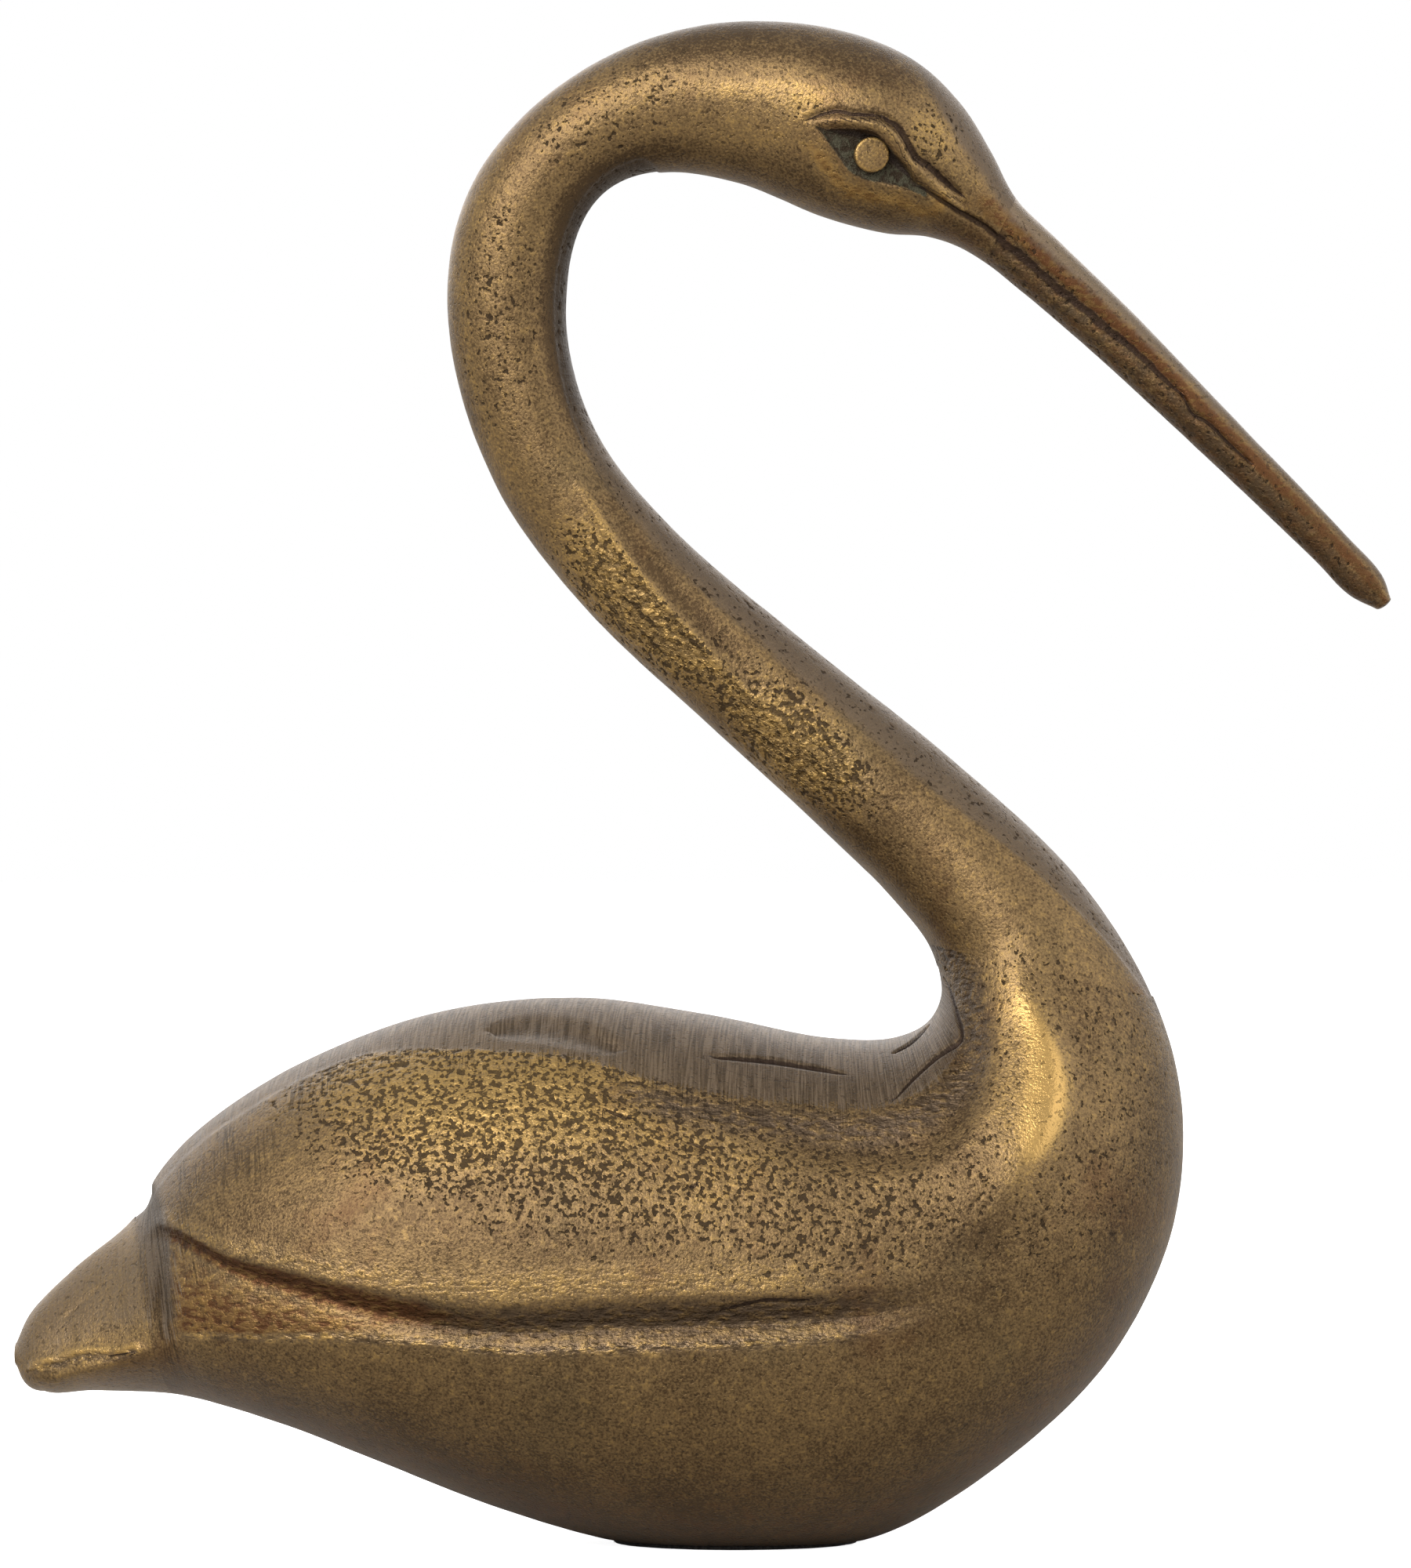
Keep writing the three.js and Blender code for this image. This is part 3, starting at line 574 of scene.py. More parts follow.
def aged_brass(name, tone=0.0, hatching=1.0, blend=0.25):
    """Brass under an old, uneven patina: rubbed gold, brown, filed grey, scorched copper and grime, with
    painted highlights and painted shade.

    Filing leaves file marks as strong as hatching, and runs out over twice the blend, in millimetres.
    """
    material = bpy.data.materials.new(name)
    build = open_tree(material)

    def stored(label):
        return build.node("ShaderNodeAttribute", {"attribute_name": label}, output="Fac")

    place = build.node("ShaderNodeTexCoord", output="Object")
    skin = build.node("ShaderNodeAttribute", {"attribute_name": "skin"}, output="Vector")
    cloud = place.noise(8 * MM, 3, 0.5)
    stain = place.noise(13 * MM, 4, 0.6)
    mottle = place.noise(1.4 * MM, 4, 0.6)
    grain = place.noise(0.24 * MM, 2.0, 0.6)
    fleck = place.noise(0.7 * MM, 2, 0.5)
    crumbs = place.stretched((1.2 * MM, 0.9 * MM, 0.5 * MM)).noise(1, 2.5, 0.55)
    marks = skin.stretched((0.21 * MM, 6 * MM, MM)).noise(1, 2, 0.5)
    bundles = skin.stretched((2.2 * MM, 6 * MM, MM)).noise(1, 2, 0.5)
    from_filed = stored("ground") + (mottle - 0.5) * 1.6 + (marks - 0.5) * (2.5 * hatching)
    ground = from_filed.rise(-blend, blend)
    hatch = from_filed.rise(-4.0, 0.0) * bundles.rise(0.44, 0.56) * (1 - ground) * hatching
    scorched = (stored("scorched") * 1.3 + (mottle - 0.5) * 0.9).rise(0.25, 0.95)
    grime = (stored("grime") + (mottle - 0.5) * 0.6).rise(-0.12, 0.15)
    # Darker along the drawn lines: grooves and cracks, and the painted shadow under the lid.
    line = 1 - build.math("ABSOLUTE", stored("cut") + (mottle - 0.5) * 1.2).rise(0.55, 1.0)
    pitted = stored("pitted")
    # Rubbed gold where the brass is worn, and painted highlight where the light falls brightest.
    rubbed_and_highlight = stored("rubbed_and_highlight")
    torn = stored("torn")
    # Painted shade: the patina and the filed grey are made darker where shade falls on the casting.
    painted_shade = stored("painted_shade")
    depth = pits_at(place, skin, pitted)
    pits = depth.rise(0.0, pitted.most(1))
    # The patina's level comes from random tone and pits. Rubbed gold and painted highlight raise it, and
    # painted shade lowers it.
    light = 0.36 + tone + (cloud - 0.5) * 0.45 + (mottle - 0.5) * 0.5 + (grain - 0.5) * 1.4
    light = light + rubbed_and_highlight * 0.48 + pitted * 0.27 - painted_shade * 0.40 + torn * (crumbs - 0.52) * 1.5
    colour = build.plain(DARK_BROWN)
    colour = colour.toward(BRONZE, light.rise(0.0, 0.55)).toward(GOLD, light.rise(0.42, 1.0))
    colour = colour.toward(POLISHED_AND_HIGHLIGHT, rubbed_and_highlight.rise(0.6, 1.1) * 0.9)
    colour = colour.toward(GOLD, fleck.rise(0.62, 0.70) * 0.35 * (1 - painted_shade))
    colour = colour.toward(OLIVE, stain.rise(0.56, 0.70) * 0.15)
    colour = colour.toward(RUST, (1 - stain).rise(0.56, 0.70) * 0.3)
    colour = colour.toward(TORN_BROWN, torn * (1 - crumbs).rise(0.36, 0.56) * 0.65)
    colour = colour.toward(COPPER, scorched * 0.6)
    colour = colour.toward(RUST, scorched * (1 - crumbs + painted_shade * 0.2).rise(0.50, 0.60) * 0.8)
    colour = colour.toward(PIT_BROWN, torn * (1 - crumbs).rise(0.54, 0.63) * 0.4)
    filed = build.plain(FILED_GREY)
    between_marks = (1 - (marks * 0.85 + grain * 0.15)).rise(0.47, 0.60)
    filed = filed.toward(FILED_DARK, between_marks * (0.65 * hatching))
    filed = filed.toward(FILED_BRIGHT, marks.rise(0.52, 0.61) * (0.55 * hatching))
    filed = filed.toward(FILED_BRIGHT, rubbed_and_highlight * 0.6).toward(FILED_DARK, painted_shade * 0.6)
    filed = filed.toward(PIT_BROWN, (1 - marks).rise(0.48, 0.55) * painted_shade * (hatching + 0.45))
    colour = colour.toward(filed, ground * 0.85)
    colour = colour.toward(PIT_BROWN, hatch * (1 - marks).rise(0.50, 0.58) * 0.7)
    colour = colour.toward(GRIME, grime * 0.95)
    colour = colour.toward(PIT_BROWN, grime * (1 - grain * 0.4 - fleck * 0.6).rise(0.44, 0.56) * 0.9)
    colour = colour.toward(PIT_BROWN, pits * 0.85)
    dots = (1 - place.noise(0.45 * MM, 1, 0.5)).rise(0.62, 0.69)
    colour = colour.toward(PIT_BROWN, dots * 0.45)
    colour = colour.toward(LINE_BROWN, line * 0.85)
    rough = 0.44 + (grain - 0.5) * 0.3 + pits * 0.25 + grime * 0.2 + ground * 0.08 - rubbed_and_highlight * 0.16
    height = (grain - 0.5) * 0.06 + (mottle - 0.5) * 0.03 - depth * 0.09 - dots * 0.03 - line * 0.06
    height = height + (ground * 0.08 + hatch * 0.05) * hatching * (marks - 0.5) + torn * (crumbs - 0.5) * 0.4
    height = height + pitted * (fleck - 0.5) * 0.14
    height = height + grime * ((grain - 0.5) * 0.2 + (mottle - 0.5) * 0.3)
    close_tree(build.node("ShaderNodeBsdfPrincipled", None, {
        "Base Color": colour, "Metallic": 0.74 - grime * 0.3 - pits * 0.15, "Roughness": rough,
        "Normal": height.bumped(), "Specular IOR Level": 0.3,
    }))
    return material


def ring_turns(along, shares, counts):
    """Turns round each section, evenly between the given shares of its depth."""
    widest = sections(along)[3]
    stops = np.stack([turn_to(np.broadcast_to(share, along.shape), widest) for share in shares], 1)
    legs = [
        stops[:, leg, None] + (stops[:, leg + 1, None] - stops[:, leg, None]) * np.arange(count) / count
        for leg, count in enumerate(counts)
    ]
    return np.concatenate([*legs, np.full((len(along), 1), BACK_TO_BELLY)], 1)


def filed_strip(grid):
    """How far inside the filed strip on the inner side of the neck's bend a place is, in millimetres."""
    first = np.interp(grid["along"], FILED_FROM_CUT + np.arange(len(FILED_FROM)), FILED_FROM)
    return (grid["share"] - first) * grid["depth"] - FAR * soften(grid["along"] - FILED_TO_CUT + 1)


def tail_nick(grid):
    """How far inside the filed nick round the root of the tail a place is, in millimetres."""
    gap, along = to_line(TAIL_NICK, grid)
    return NICK_WIDTH / 2 * (1.3 - 0.5 * along) * soften((1 - along) / 0.25) - np.abs(gap)


def breast_forms(grid):
    """The fold below the filed back and the crest down the side of the breast, each from 0 to 1."""
    gap, along = to_line(FOLD, grid)
    fold = band(gap, FOLD_REACH) * soften(along / 0.3) * soften((1 - along) / 0.2)
    gap, along = to_line(CREST, grid)
    off = np.hypot(gap, CREST_ROUNDING) - CREST_ROUNDING
    crest = np.maximum(0, 1 - off / np.where(gap > 0, CREST_BEFORE, CREST_BEHIND)) ** 1.6
    swell = 0.7 + 0.55 * arch(along) ** 2
    return fold, crest * soften(along / 0.2) * soften((1 - along) / 0.5) * swell


def body_half(name, left):
    """One half of the body. The slits and cracks in the photograph are chance marks of its right half."""
    along = np.linspace(TAIL_JOINT, NECK_JOINT, BODY_RINGS)
    turns = ring_turns(along, [0, *wing_lines(along)[:3], 1], BODY_POINTS)
    grid = skin_grid(along, turns, wing_relief)
    edge, foot, ridge, wing = wing_lines(grid["along"])
    share, x = grid["share"], grid["x"]
    filed = to_line(FILED_EDGE, grid)[0]
    nick = tail_nick(grid)
    fold, crest = breast_forms(grid)
    near_tail = soften((-18 - x) / 22)
    below_filed = band(filed + 1.9, 2.4) * soften((x + 16) / 10)
    on_edge = band(share - edge + 0.02, 0.06) * wing
    below_step = share - foot + 0.4 * WING_STEP
    in_step = soften(1 - np.maximum(-below_step / 0.045, below_step / 0.08)) * wing
    on_ridge = band(share - ridge, 0.02) * wing
    in_flute = soften((share - foot) / 0.02) * soften((ridge - share) / 0.03) * wing
    down_flute = np.clip((share - foot) / (ridge - foot), 0, 1)
    gouge = stroke(GOUGE, grid, 1.7) * (not left)
    belly = soften((share - 0.70) / 0.25) * (1 - soften((grid["along"] - 11) / 3.5))
    deepest = 1 - soften((grid["z"] - 44) / 6)
    height = CREST_HEIGHT * crest - FOLD_DEPTH * fold * deepest - 0.45 * gouge
    height = height - 0.12 * soften((filed + 0.25) / 0.5) - 0.35 * soften(nick / 1.2)
    if not left:
        height = cut_grooves(height, grid, FINE_LINES, 0.3, 1.4)
    raise_skin(grid, height)
    return casting_mesh(name, grid, left=left, masks={
        "ground": np.maximum.reduce([
            filed * (0.3 + 0.7 * soften((x + 44) / 10)), 0.5 * nick, filed_strip(grid),
        ]),
        "pitted": np.maximum.reduce([
            np.minimum(1.1, 2.1 * patch(grid, (-20, 41), (26, 12))), 0.85 * patch(grid, (-8, 35), (26, 11)),
            0.7 * patch(grid, (8, 31), (19, 10)), 0.25 * patch(grid, (26, 42), (18, 26)),
        ]) * (1 - soften((filed + 0.2) / 0.4)) * (1 - 0.7 * below_filed) * (1 - 0.8 * np.clip(crest, 0, 1)),
        "scorched": np.maximum.reduce([
            in_step * (0.2 + 0.8 * near_tail), in_flute * near_tail * (0.2 + 0.7 * down_flute), 0.33 * belly,
        ]),
        # Rubbed gold on the wing's edge, ridge and flute; a painted highlight along the crest down the
        # breast.
        "rubbed_and_highlight": np.maximum.reduce([
            0.65 * on_edge, on_ridge * (0.6 + 0.3 * near_tail), crest ** 1.8, 0.4 * in_flute,
            0.45 * patch(grid, (-22, 42), (22, 7)),
        ]),
        "cut": FAR if left else fine_lines(grid, FINE_LINES),
        "torn": np.maximum.reduce([
            below_filed, in_flute * (0.25 + 0.35 * down_flute), on_ridge, in_step,
            0.3 * gouge, 0.35 * on_edge,
        ]),
        # Painted shade under the wing's ledge, in the fold, gouge and nick, below the filed band, over the
        # belly and in patches of the flank where less light falls.
        "painted_shade": np.maximum.reduce([
            0.55 * belly, 0.65 * fold, 0.5 * in_step, 0.4 * patch(grid, (18, 22), (14, 7)), 0.3 * gouge,
            0.5 * soften((nick + 0.9) / 1.8), 0.15 * patch(grid, (-44, 30), (14, 10)), 0.6 * below_filed,
            0.45 * patch(grid, (-17, 30), (24, 7)), 0.5 * patch(grid, (8, 29), (14, 8)),
            0.7 * patch(grid, (19, 31), (9, 9)), 0.3 * patch(grid, (33, 36), (12, 26)),
        ]) * (1 - 0.6 * np.clip(crest, 0, 1)),
    })


cast_skin = cast_skin_tree()
body_brass = aged_brass("body brass")
for node, left in (("right_body_half", False), ("left_body_half", True)):
    half = body_half(node, left)
    evaluate_nodes(half, cast_skin, {"Material": body_brass})
    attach(half, "root")
    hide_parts(node)

# The tail. A solid brass wedge, brazed onto the end of the body by a tenon and filed down to it, so
# that a nick runs round its root, with painted shade in it. Its side edges are rubbed to gold and torn
# underneath.

TORN_LIP = [(-64.6, 15.9), (-62.6, 16.4), (-60.7, 17.0), (-58.0, 17.1), (-55.7, 17.4)]
TAIL_CREASE = [(-62.2, 20.4), (-60.4, 22.0), (-58.8, 23.5)]


def round_grid(along, count):
    """The plain skin with a number of points at even turns all the way round."""
    turns = np.linspace(0, 2 * math.pi, count, endpoint=False)
    return skin_grid(along, np.broadcast_to(turns, (len(along), count)))


tail = round_grid(np.linspace(0, TAIL_JOINT, 90), 220)
nick = tail_nick(tail)
lip_gap = to_line(TORN_LIP, tail)[0]
on_lip = band(lip_gap - 0.4, 0.9)
tail_masks = {
    "ground": np.maximum(nick, np.minimum((0.5 - tail["share"]) * tail["depth"] * 0.4, 0.2)),
    "pitted": 0.04 * soften((tail["share"] - 0.1) / 0.3),
    "rubbed_and_highlight": np.maximum(on_lip, 0.25),
    "cut": fine_lines(tail, [(TORN_LIP[3:], 0.1)]),
    "torn": band(lip_gap, 0.9),
    # Painted shade under the torn lip, in the nick and over the tail's underside.
    "painted_shade": np.maximum.reduce([
        0.2 * soften(-lip_gap / 0.8), 0.5 * soften((nick + 0.9) / 1.8),
        0.65 * soften((tail["share"] - 0.66) / 0.25) * soften(tail["along"] - 1.7),
    ]),
}
height = 0.2 * on_lip * soften(tail["along"] / 1.2) - 0.25 * stroke(TORN_LIP, tail, 0.4, 0.6)
height = height - 0.1 * stroke(TAIL_CREASE, tail, 0.5)
height = height + 0.5 * soften((tail["share"] - 0.7) / 0.3) * arch(tail["along"])
raise_skin(tail, height - 0.35 * soften(nick / 1.2))
tail_piece = casting_mesh("tail", tail, tail_masks, ends=("tip", "flat"), tip=0.2)
evaluate_nodes(tail_piece, cast_skin, {"Material": aged_brass("tail brass", 0.1, 0.35, 1.0)})
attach(tail_piece, "root")
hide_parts("tail")

# The neck and head. One solid brass casting, brazed onto the breast by a tenon. It is filed along
# the inside of its bend, coarsely pitted behind, and a lid band is cut over each eye, whose almond
# hollow is filled with grime.

NECK_RIDGE = [(-16.0, 99.1), (-14.7, 96.9), (-10.9, 90.9), (-7.3, 86.5), (-3.2, 82.1), (0.4, 78.2),
              (6.2, 73.2), (11.5, 68.2)]
UPPER_GROOVE = [(6.1, 130.6), (8.7, 131.4), (10.8, 131.1), (12.9, 131.0), (14.3, 130.1), (15.3, 128.8),
                (16.0, 127.3), (17.4, 126.3), (18.7, 125.0), (20.4, 123.6)]
LID = [(7.2, 130.3), (8.7, 130.5), (11.2, 130.3), (13.2, 129.8), (14.6, 128.3), (15.7, 126.5), (17.1, 125.1),
       (18.9, 123.5), (20.6, 122.2)]
RECESS = [(6.8, 130.1), (8.6, 129.6), (10.1, 129.6), (11.7, 129.4), (12.6, 129.1), (13.6, 128.2),
          (14.3, 127.2), (15.2, 126.3), (16.0, 125.1), (17.1, 124.2), (17.1, 123.5), (15.2, 124.4),
          (13.6, 124.7), (11.5, 125.1), (10.1, 125.8), (9.1, 127.0), (8.1, 128.6), (6.8, 130.1)]
MOUTH = [(16.5, 124.4), (18.6, 123.0), (20.4, 121.9), (22.2, 120.9), (23.9, 119.5), (26.3, 117.6),
         (28.9, 115.3), (31.6, 113.2), (34.2, 111.0), (36.8, 108.9), (38.6, 107.1), (40.7, 105.3)]
LID_SHADOW = [(8.3, 129.7), (10.0, 129.5), (11.5, 129.3), (12.6, 128.8), (13.5, 127.8), (14.5, 126.6),
              (15.6, 125.4)]
HEAD_LINES = [(UPPER_GROOVE[:4], 0.25), (UPPER_GROOVE[3:], 0.5), (MOUTH, 0.45), (LID_SHADOW, 0.55)]
EYE_PLACE = (27.62, 0.64)  # along the run, and how far down from crown to throat
EYE_REAR_CORNER = (26.79, 0.575)
EYE_FRONT_CORNER = (28.78, 0.745)
EYE_HOLLOW_DEPTH = 0.15
HEAD_FROM_CUT = 25  # from here on the rings lie closer together

neck_along = np.linspace(NECK_JOINT, HEAD_FROM_CUT, 270, endpoint=False)
neck = round_grid(np.concatenate([neck_along, np.linspace(HEAD_FROM_CUT, BEAK_JOINT, 190)]), 208)


def skin_point(along, share):
    """A point on the right side of the skin, in millimetres."""
    back, belly, half_width, widest, squareness = sections(np.array([along]))
    off = abs(math.cos(turn_to(np.array([share]), widest)[0]))
    side = half_width[0] * (1 - off ** squareness[0]) ** (1 / squareness[0])
    flat = back[0] + (belly[0] - back[0]) * share
    return np.array([flat[0], -side, flat[1]])


rear = skin_point(*EYE_REAR_CORNER)
floor_x = skin_point(*EYE_FRONT_CORNER) - rear
floor_x /= np.linalg.norm(floor_x)
crown, throat = sections(np.array([EYE_PLACE[0]]))[:2]
down = np.array([throat[0, 0] - crown[0, 0], 0, throat[0, 1] - crown[0, 1]])
floor_out = np.cross(down, floor_x)
floor_out /= np.linalg.norm(floor_out)
floor_up = np.cross(floor_out, floor_x)
floor_corner = rear - EYE_HOLLOW_DEPTH * floor_out

ridge_gap, ridge_along = to_line(NECK_RIDGE, neck)
ridge_fade = soften(ridge_along / 0.25) * soften((1 - ridge_along) / 0.55)
neck_ridge = band(ridge_gap, 0.9) * ridge_fade
neck_valley = band(ridge_gap - 1.6, 2.0) * ridge_fade
strip = filed_strip(neck)
on_strip = soften((strip + 0.2) / 0.4)
lid = stroke(LID, neck, 0.7, 0.3)
crest = breast_forms(neck)[1]


def within(path, grid):
    """Whether each point lies inside a closed path in the side view."""
    x, z = grid["x"], grid["z"]
    inside = np.zeros(x.shape, bool)
    for a, b in zip(path, path[1:]):
        between = (a[1] > z) != (b[1] > z)
        inside ^= between & (x < a[0] + (b[0] - a[0]) * (z - a[1]) / (b[1] - a[1] + 1e-9))
    return inside


recess_gap = np.abs(to_line(RECESS, neck, steps=3)[0])
recess_gap = np.where(within(RECESS, neck), recess_gap, -recess_gap)
on_head = (neck["along"] > 26) & (neck["along"] < 30.5)
recess_gap = np.where(on_head, recess_gap, -FAR)
in_recess = soften((recess_gap + 0.12) / 0.30)
brow = (0.30 - neck["share"]) * neck["depth"] - FAR * soften((29.3 - neck["along"]) / 2)
bend_edge = band(neck["share"] - 0.14, 0.10) * soften((neck["along"] - 19) / 2)
inner_side = soften((neck["share"] - 0.68) / 0.2) * soften(neck["along"] - 19.8)
on_crown = soften((neck["along"] - 24) / 1.5) * soften((29 - neck["along"]) / 1.5)
torn_back = np.maximum(patch(neck, (-8.2, 85.5), (14, 5), -0.75), patch(neck, (4.5, 74.3), (13, 5), -0.78))
torn_back = torn_back * (1 - soften((ridge_gap + 0.5) / 1.0) * ridge_fade)
cheek = band(recess_gap + 1.4, 1.7) * soften((neck["share"] - 0.62) / 0.1)
neck_masks = {
    "ground": np.maximum(strip, brow),
    "pitted": np.maximum.reduce([
        1.9 * torn_back,
        0.3 * patch(neck, (26.5, 49.5), (6, 9)), 0.35 * patch(neck, (-22, 112), (5, 14)),
        0.3 * patch(neck, (-12, 131), (10, 5), 0.4), 0.5 * patch(neck, (17.6, 129), (3.5, 4)),
        0.45 * patch(neck, (6, 131.8), (4, 1.4)), 0.3 * on_strip,
    ]) * (1 - 0.6 * on_strip) * (1 - 0.8 * np.clip(crest, 0, 1)),
    "scorched": np.maximum.reduce([
        0.5 * patch(neck, (37.5, 48.7), (5, 5)), 0.45 * cheek,
        0.6 * patch(neck, (23.5, 122), (3.5, 1.6), -0.75),
    ]),
    # Rubbed gold on the lid band and torn ridges; painted highlights along the neck's ridge, the outer edge
    # of the bend, the crest and a streak over the head.
    "rubbed_and_highlight": np.maximum.reduce([
        0.35 * bend_edge * soften((26 - neck["along"]) / 2), neck_ridge * 0.55, crest ** 1.8, 0.5 * lid,
        0.5 * patch(neck, (3, 133.2), (12, 1.6), -0.05), 0.9 * cheek, 0.4 * torn_back,
        0.25 * patch(neck, (17, 128), (5, 4)), 0.3 * patch(neck, (2, 130), (7, 4)),
    ]),
    "grime": recess_gap,
    "cut": fine_lines(neck, HEAD_LINES),
    "torn": 0.5 * torn_back,
    # Painted shade on the inner side of the bend, in the valley beside the ridge and in the upper groove,
    # over the crown, along the throat and in two patches of the neck.
    "painted_shade": np.maximum.reduce([
        inner_side * (1.3 - soften((neck["along"] - 23.5) / 2.5)), 0.75 * neck_valley,
        0.5 * stroke(UPPER_GROOVE, neck, 1.2), 0.75 * soften((0.34 - neck["share"]) / 0.15) * on_crown,
        0.25 * patch(neck, (-22, 112), (9, 17)), 0.1 * on_crown, 0.25 * patch(neck, (12, 68), (8, 7)),
        0.5 * band(neck["share"] - 0.93, 0.05) * on_crown,
    ]) * (1 - 0.6 * np.clip(crest, 0, 1)),
}
height = CREST_HEIGHT * crest + 0.30 * neck_ridge - 0.30 * neck_valley - 0.12 * on_strip + 0.25 * lid
raise_skin(neck, cut_grooves(height, neck, HEAD_LINES, 0.4, 1.4, 0.2))
for hand in (1, -1):
    turned = np.array([1, hand, 1])
    height = (neck["points"] - floor_corner * turned) @ (floor_out * turned)
    sink = np.maximum(height, 0) * in_recess * (neck["hand"] == -hand)
    neck["points"] = neck["points"] - sink[..., None] * floor_out * turned
neck_piece = casting_mesh("neck_and_head", neck, neck_masks)
evaluate_nodes(neck_piece, cast_skin, {"Material": aged_brass("neck brass", 0.04, 0.12, 0.7)})
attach(neck_piece, "root")
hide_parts("neck_and_head")

# The beak. Solid brass, brazed into the head by a tenon; the heat has left it coppery along the
# upper half. The mouth is a groove down each side that ends in a hook well short of the tip.

MOUTH_END = [(40.7, 105.3), (41.5, 103.5), (42.8, 102.9), (44.6, 101.1), (47.0, 99.0)]
BEAK_LINES = [(MOUTH, 0.6), (MOUTH_END, 0.26)]

beak = round_grid(np.linspace(BEAK_JOINT, BEAK_TIP, 280), 96)
to_tip = soften((beak["along"] - 32) / 3)
upper_half = soften((beak["share"] - 0.15) / 0.15) * soften((0.52 - beak["share"]) / 0.06)
lower_half = soften((beak["share"] - 0.55) / 0.1)
beak_masks = {
    "ground": (0.32 - 0.20 * to_tip - beak["share"]) * beak["depth"],
    "pitted": 0.15 * soften((beak["share"] - 0.3) / 0.2),
    "scorched": upper_half * (0.6 - 0.4 * to_tip) + 0.33,
    "rubbed_and_highlight": np.maximum(
        0.5 * soften((beak["along"] - 36) / 0.8), 0.7 * soften((0.34 - beak["share"]) / 0.1) * (1 - to_tip),
    ),
    "cut": fine_lines(beak, BEAK_LINES),
    "torn": 0.35 * soften((beak["share"] - 0.5) / 0.1),
    # Painted shade: the beak is darker below its top edge, more so towards the tip and on the lower half.
    "painted_shade": soften((beak["share"] - 0.2) / 0.1) * (0.35 + 0.35 * to_tip + 0.2 * lower_half),
}
raise_skin(beak, cut_grooves(0.0, beak, BEAK_LINES, 0.4, 2, 0.2))
beak_piece = casting_mesh("beak", beak, beak_masks, ends=("flat", "tip"), tip=0.3)
evaluate_nodes(beak_piece, cast_skin, {"Material": aged_brass("beak brass", 0.0, 0.12, 0.5)})
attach(beak_piece, "root")
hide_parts("beak")

# The eyes. Small turned brass studs, each on a shank in its hole at the middle of the almond
# hollow. Their faces are worn and a little domed, their rims rubbed bright.

EYE_DIAMETER = 3.2
EYE_THICKNESS = 0.7
EYE_GAP = 0.12
SHANK_DIAMETER = 1.6
SHANK_LENGTH = 1.6
UNDER_ROUNDING = 0.12  # of the edge under the stud's head
RIM_ROUNDING = 0.22
DOME_HEIGHT = 0.05


def turned_mesh(name, profile, sides):
    """A mesh turned from a profile of (radius, height) points, closed at both ends by a pole."""
    turns = np.linspace(0, 2 * math.pi, sides, endpoint=False)
    radii, heights = np.array(profile).T
    rings = np.stack([
        radii[1:-1, None] * np.cos(turns), radii[1:-1, None] * np.sin(turns),
        np.broadcast_to(heights[1:-1, None], (len(profile) - 2, sides)),
    ], -1)
    corner = np.arange(rings.shape[0] * sides).reshape(-1, sides)
    beside = np.roll(corner, -1, 1)
    quads = np.stack([corner[:-1], beside[:-1], beside[1:], corner[1:]], -1).reshape(-1, 4).tolist()
    bottom, top = corner.size, corner.size + 1
    fans = [(bottom, b, a) for a, b in zip(corner[0].tolist(), beside[0].tolist())]
    fans += [(top, a, b) for a, b in zip(corner[-1].tolist(), beside[-1].tolist())]
    points = rings.reshape(-1, 3).tolist() + [(0, 0, float(heights[0])), (0, 0, float(heights[-1]))]
    mesh = bpy.data.meshes.new(name)
    mesh.from_pydata(points, [], quads + fans)
    mesh.polygons.foreach_set("use_smooth", [True] * len(mesh.polygons))
    return mesh


def vertex_table(mesh, kept):
    """What the mesh keeps for each vertex, its co or its normal, in rows of three."""
    table = np.empty(len(mesh.vertices) * 3)
    mesh.vertices.foreach_get(kept, table)
    return table.reshape(-1, 3)


head = EYE_DIAMETER / 2
shank = SHANK_DIAMETER / 2
face = EYE_GAP + EYE_THICKNESS
under, rim = UNDER_ROUNDING, RIM_ROUNDING
stud_profile = [(0, -SHANK_LENGTH)] + [(shank * s, -SHANK_LENGTH) for s in (0.5, 0.85)]
stud_profile += [(shank, h) for h in np.linspace(-SHANK_LENGTH + 0.1, EYE_GAP, 6)]
stud_profile += [(r, EYE_GAP) for r in np.linspace(shank + 0.05, head - under, 8)]
stud_profile += [
    (head - under + under * math.sin(t), EYE_GAP + under - under * math.cos(t))
    for t in np.linspace(0.2, math.pi / 2, 5)
]
stud_profile += [
    (head - rim + rim * math.cos(t), face - rim + rim * math.sin(t))
    for t in np.linspace(0, math.pi / 2 - 0.1, 7)
]
stud_profile += [(r, face + DOME_HEIGHT * (1 - (r / head) ** 2)) for r in np.linspace(head - 0.26, 0.08, 16)]
stud_profile += [(0, face + DOME_HEIGHT)]
eye_brass = aged_brass("eye brass", 0.13)
eye = skin_point(*EYE_PLACE) - rear
eye_seat = floor_corner + floor_x * (eye @ floor_x) + floor_up * (eye @ floor_up)
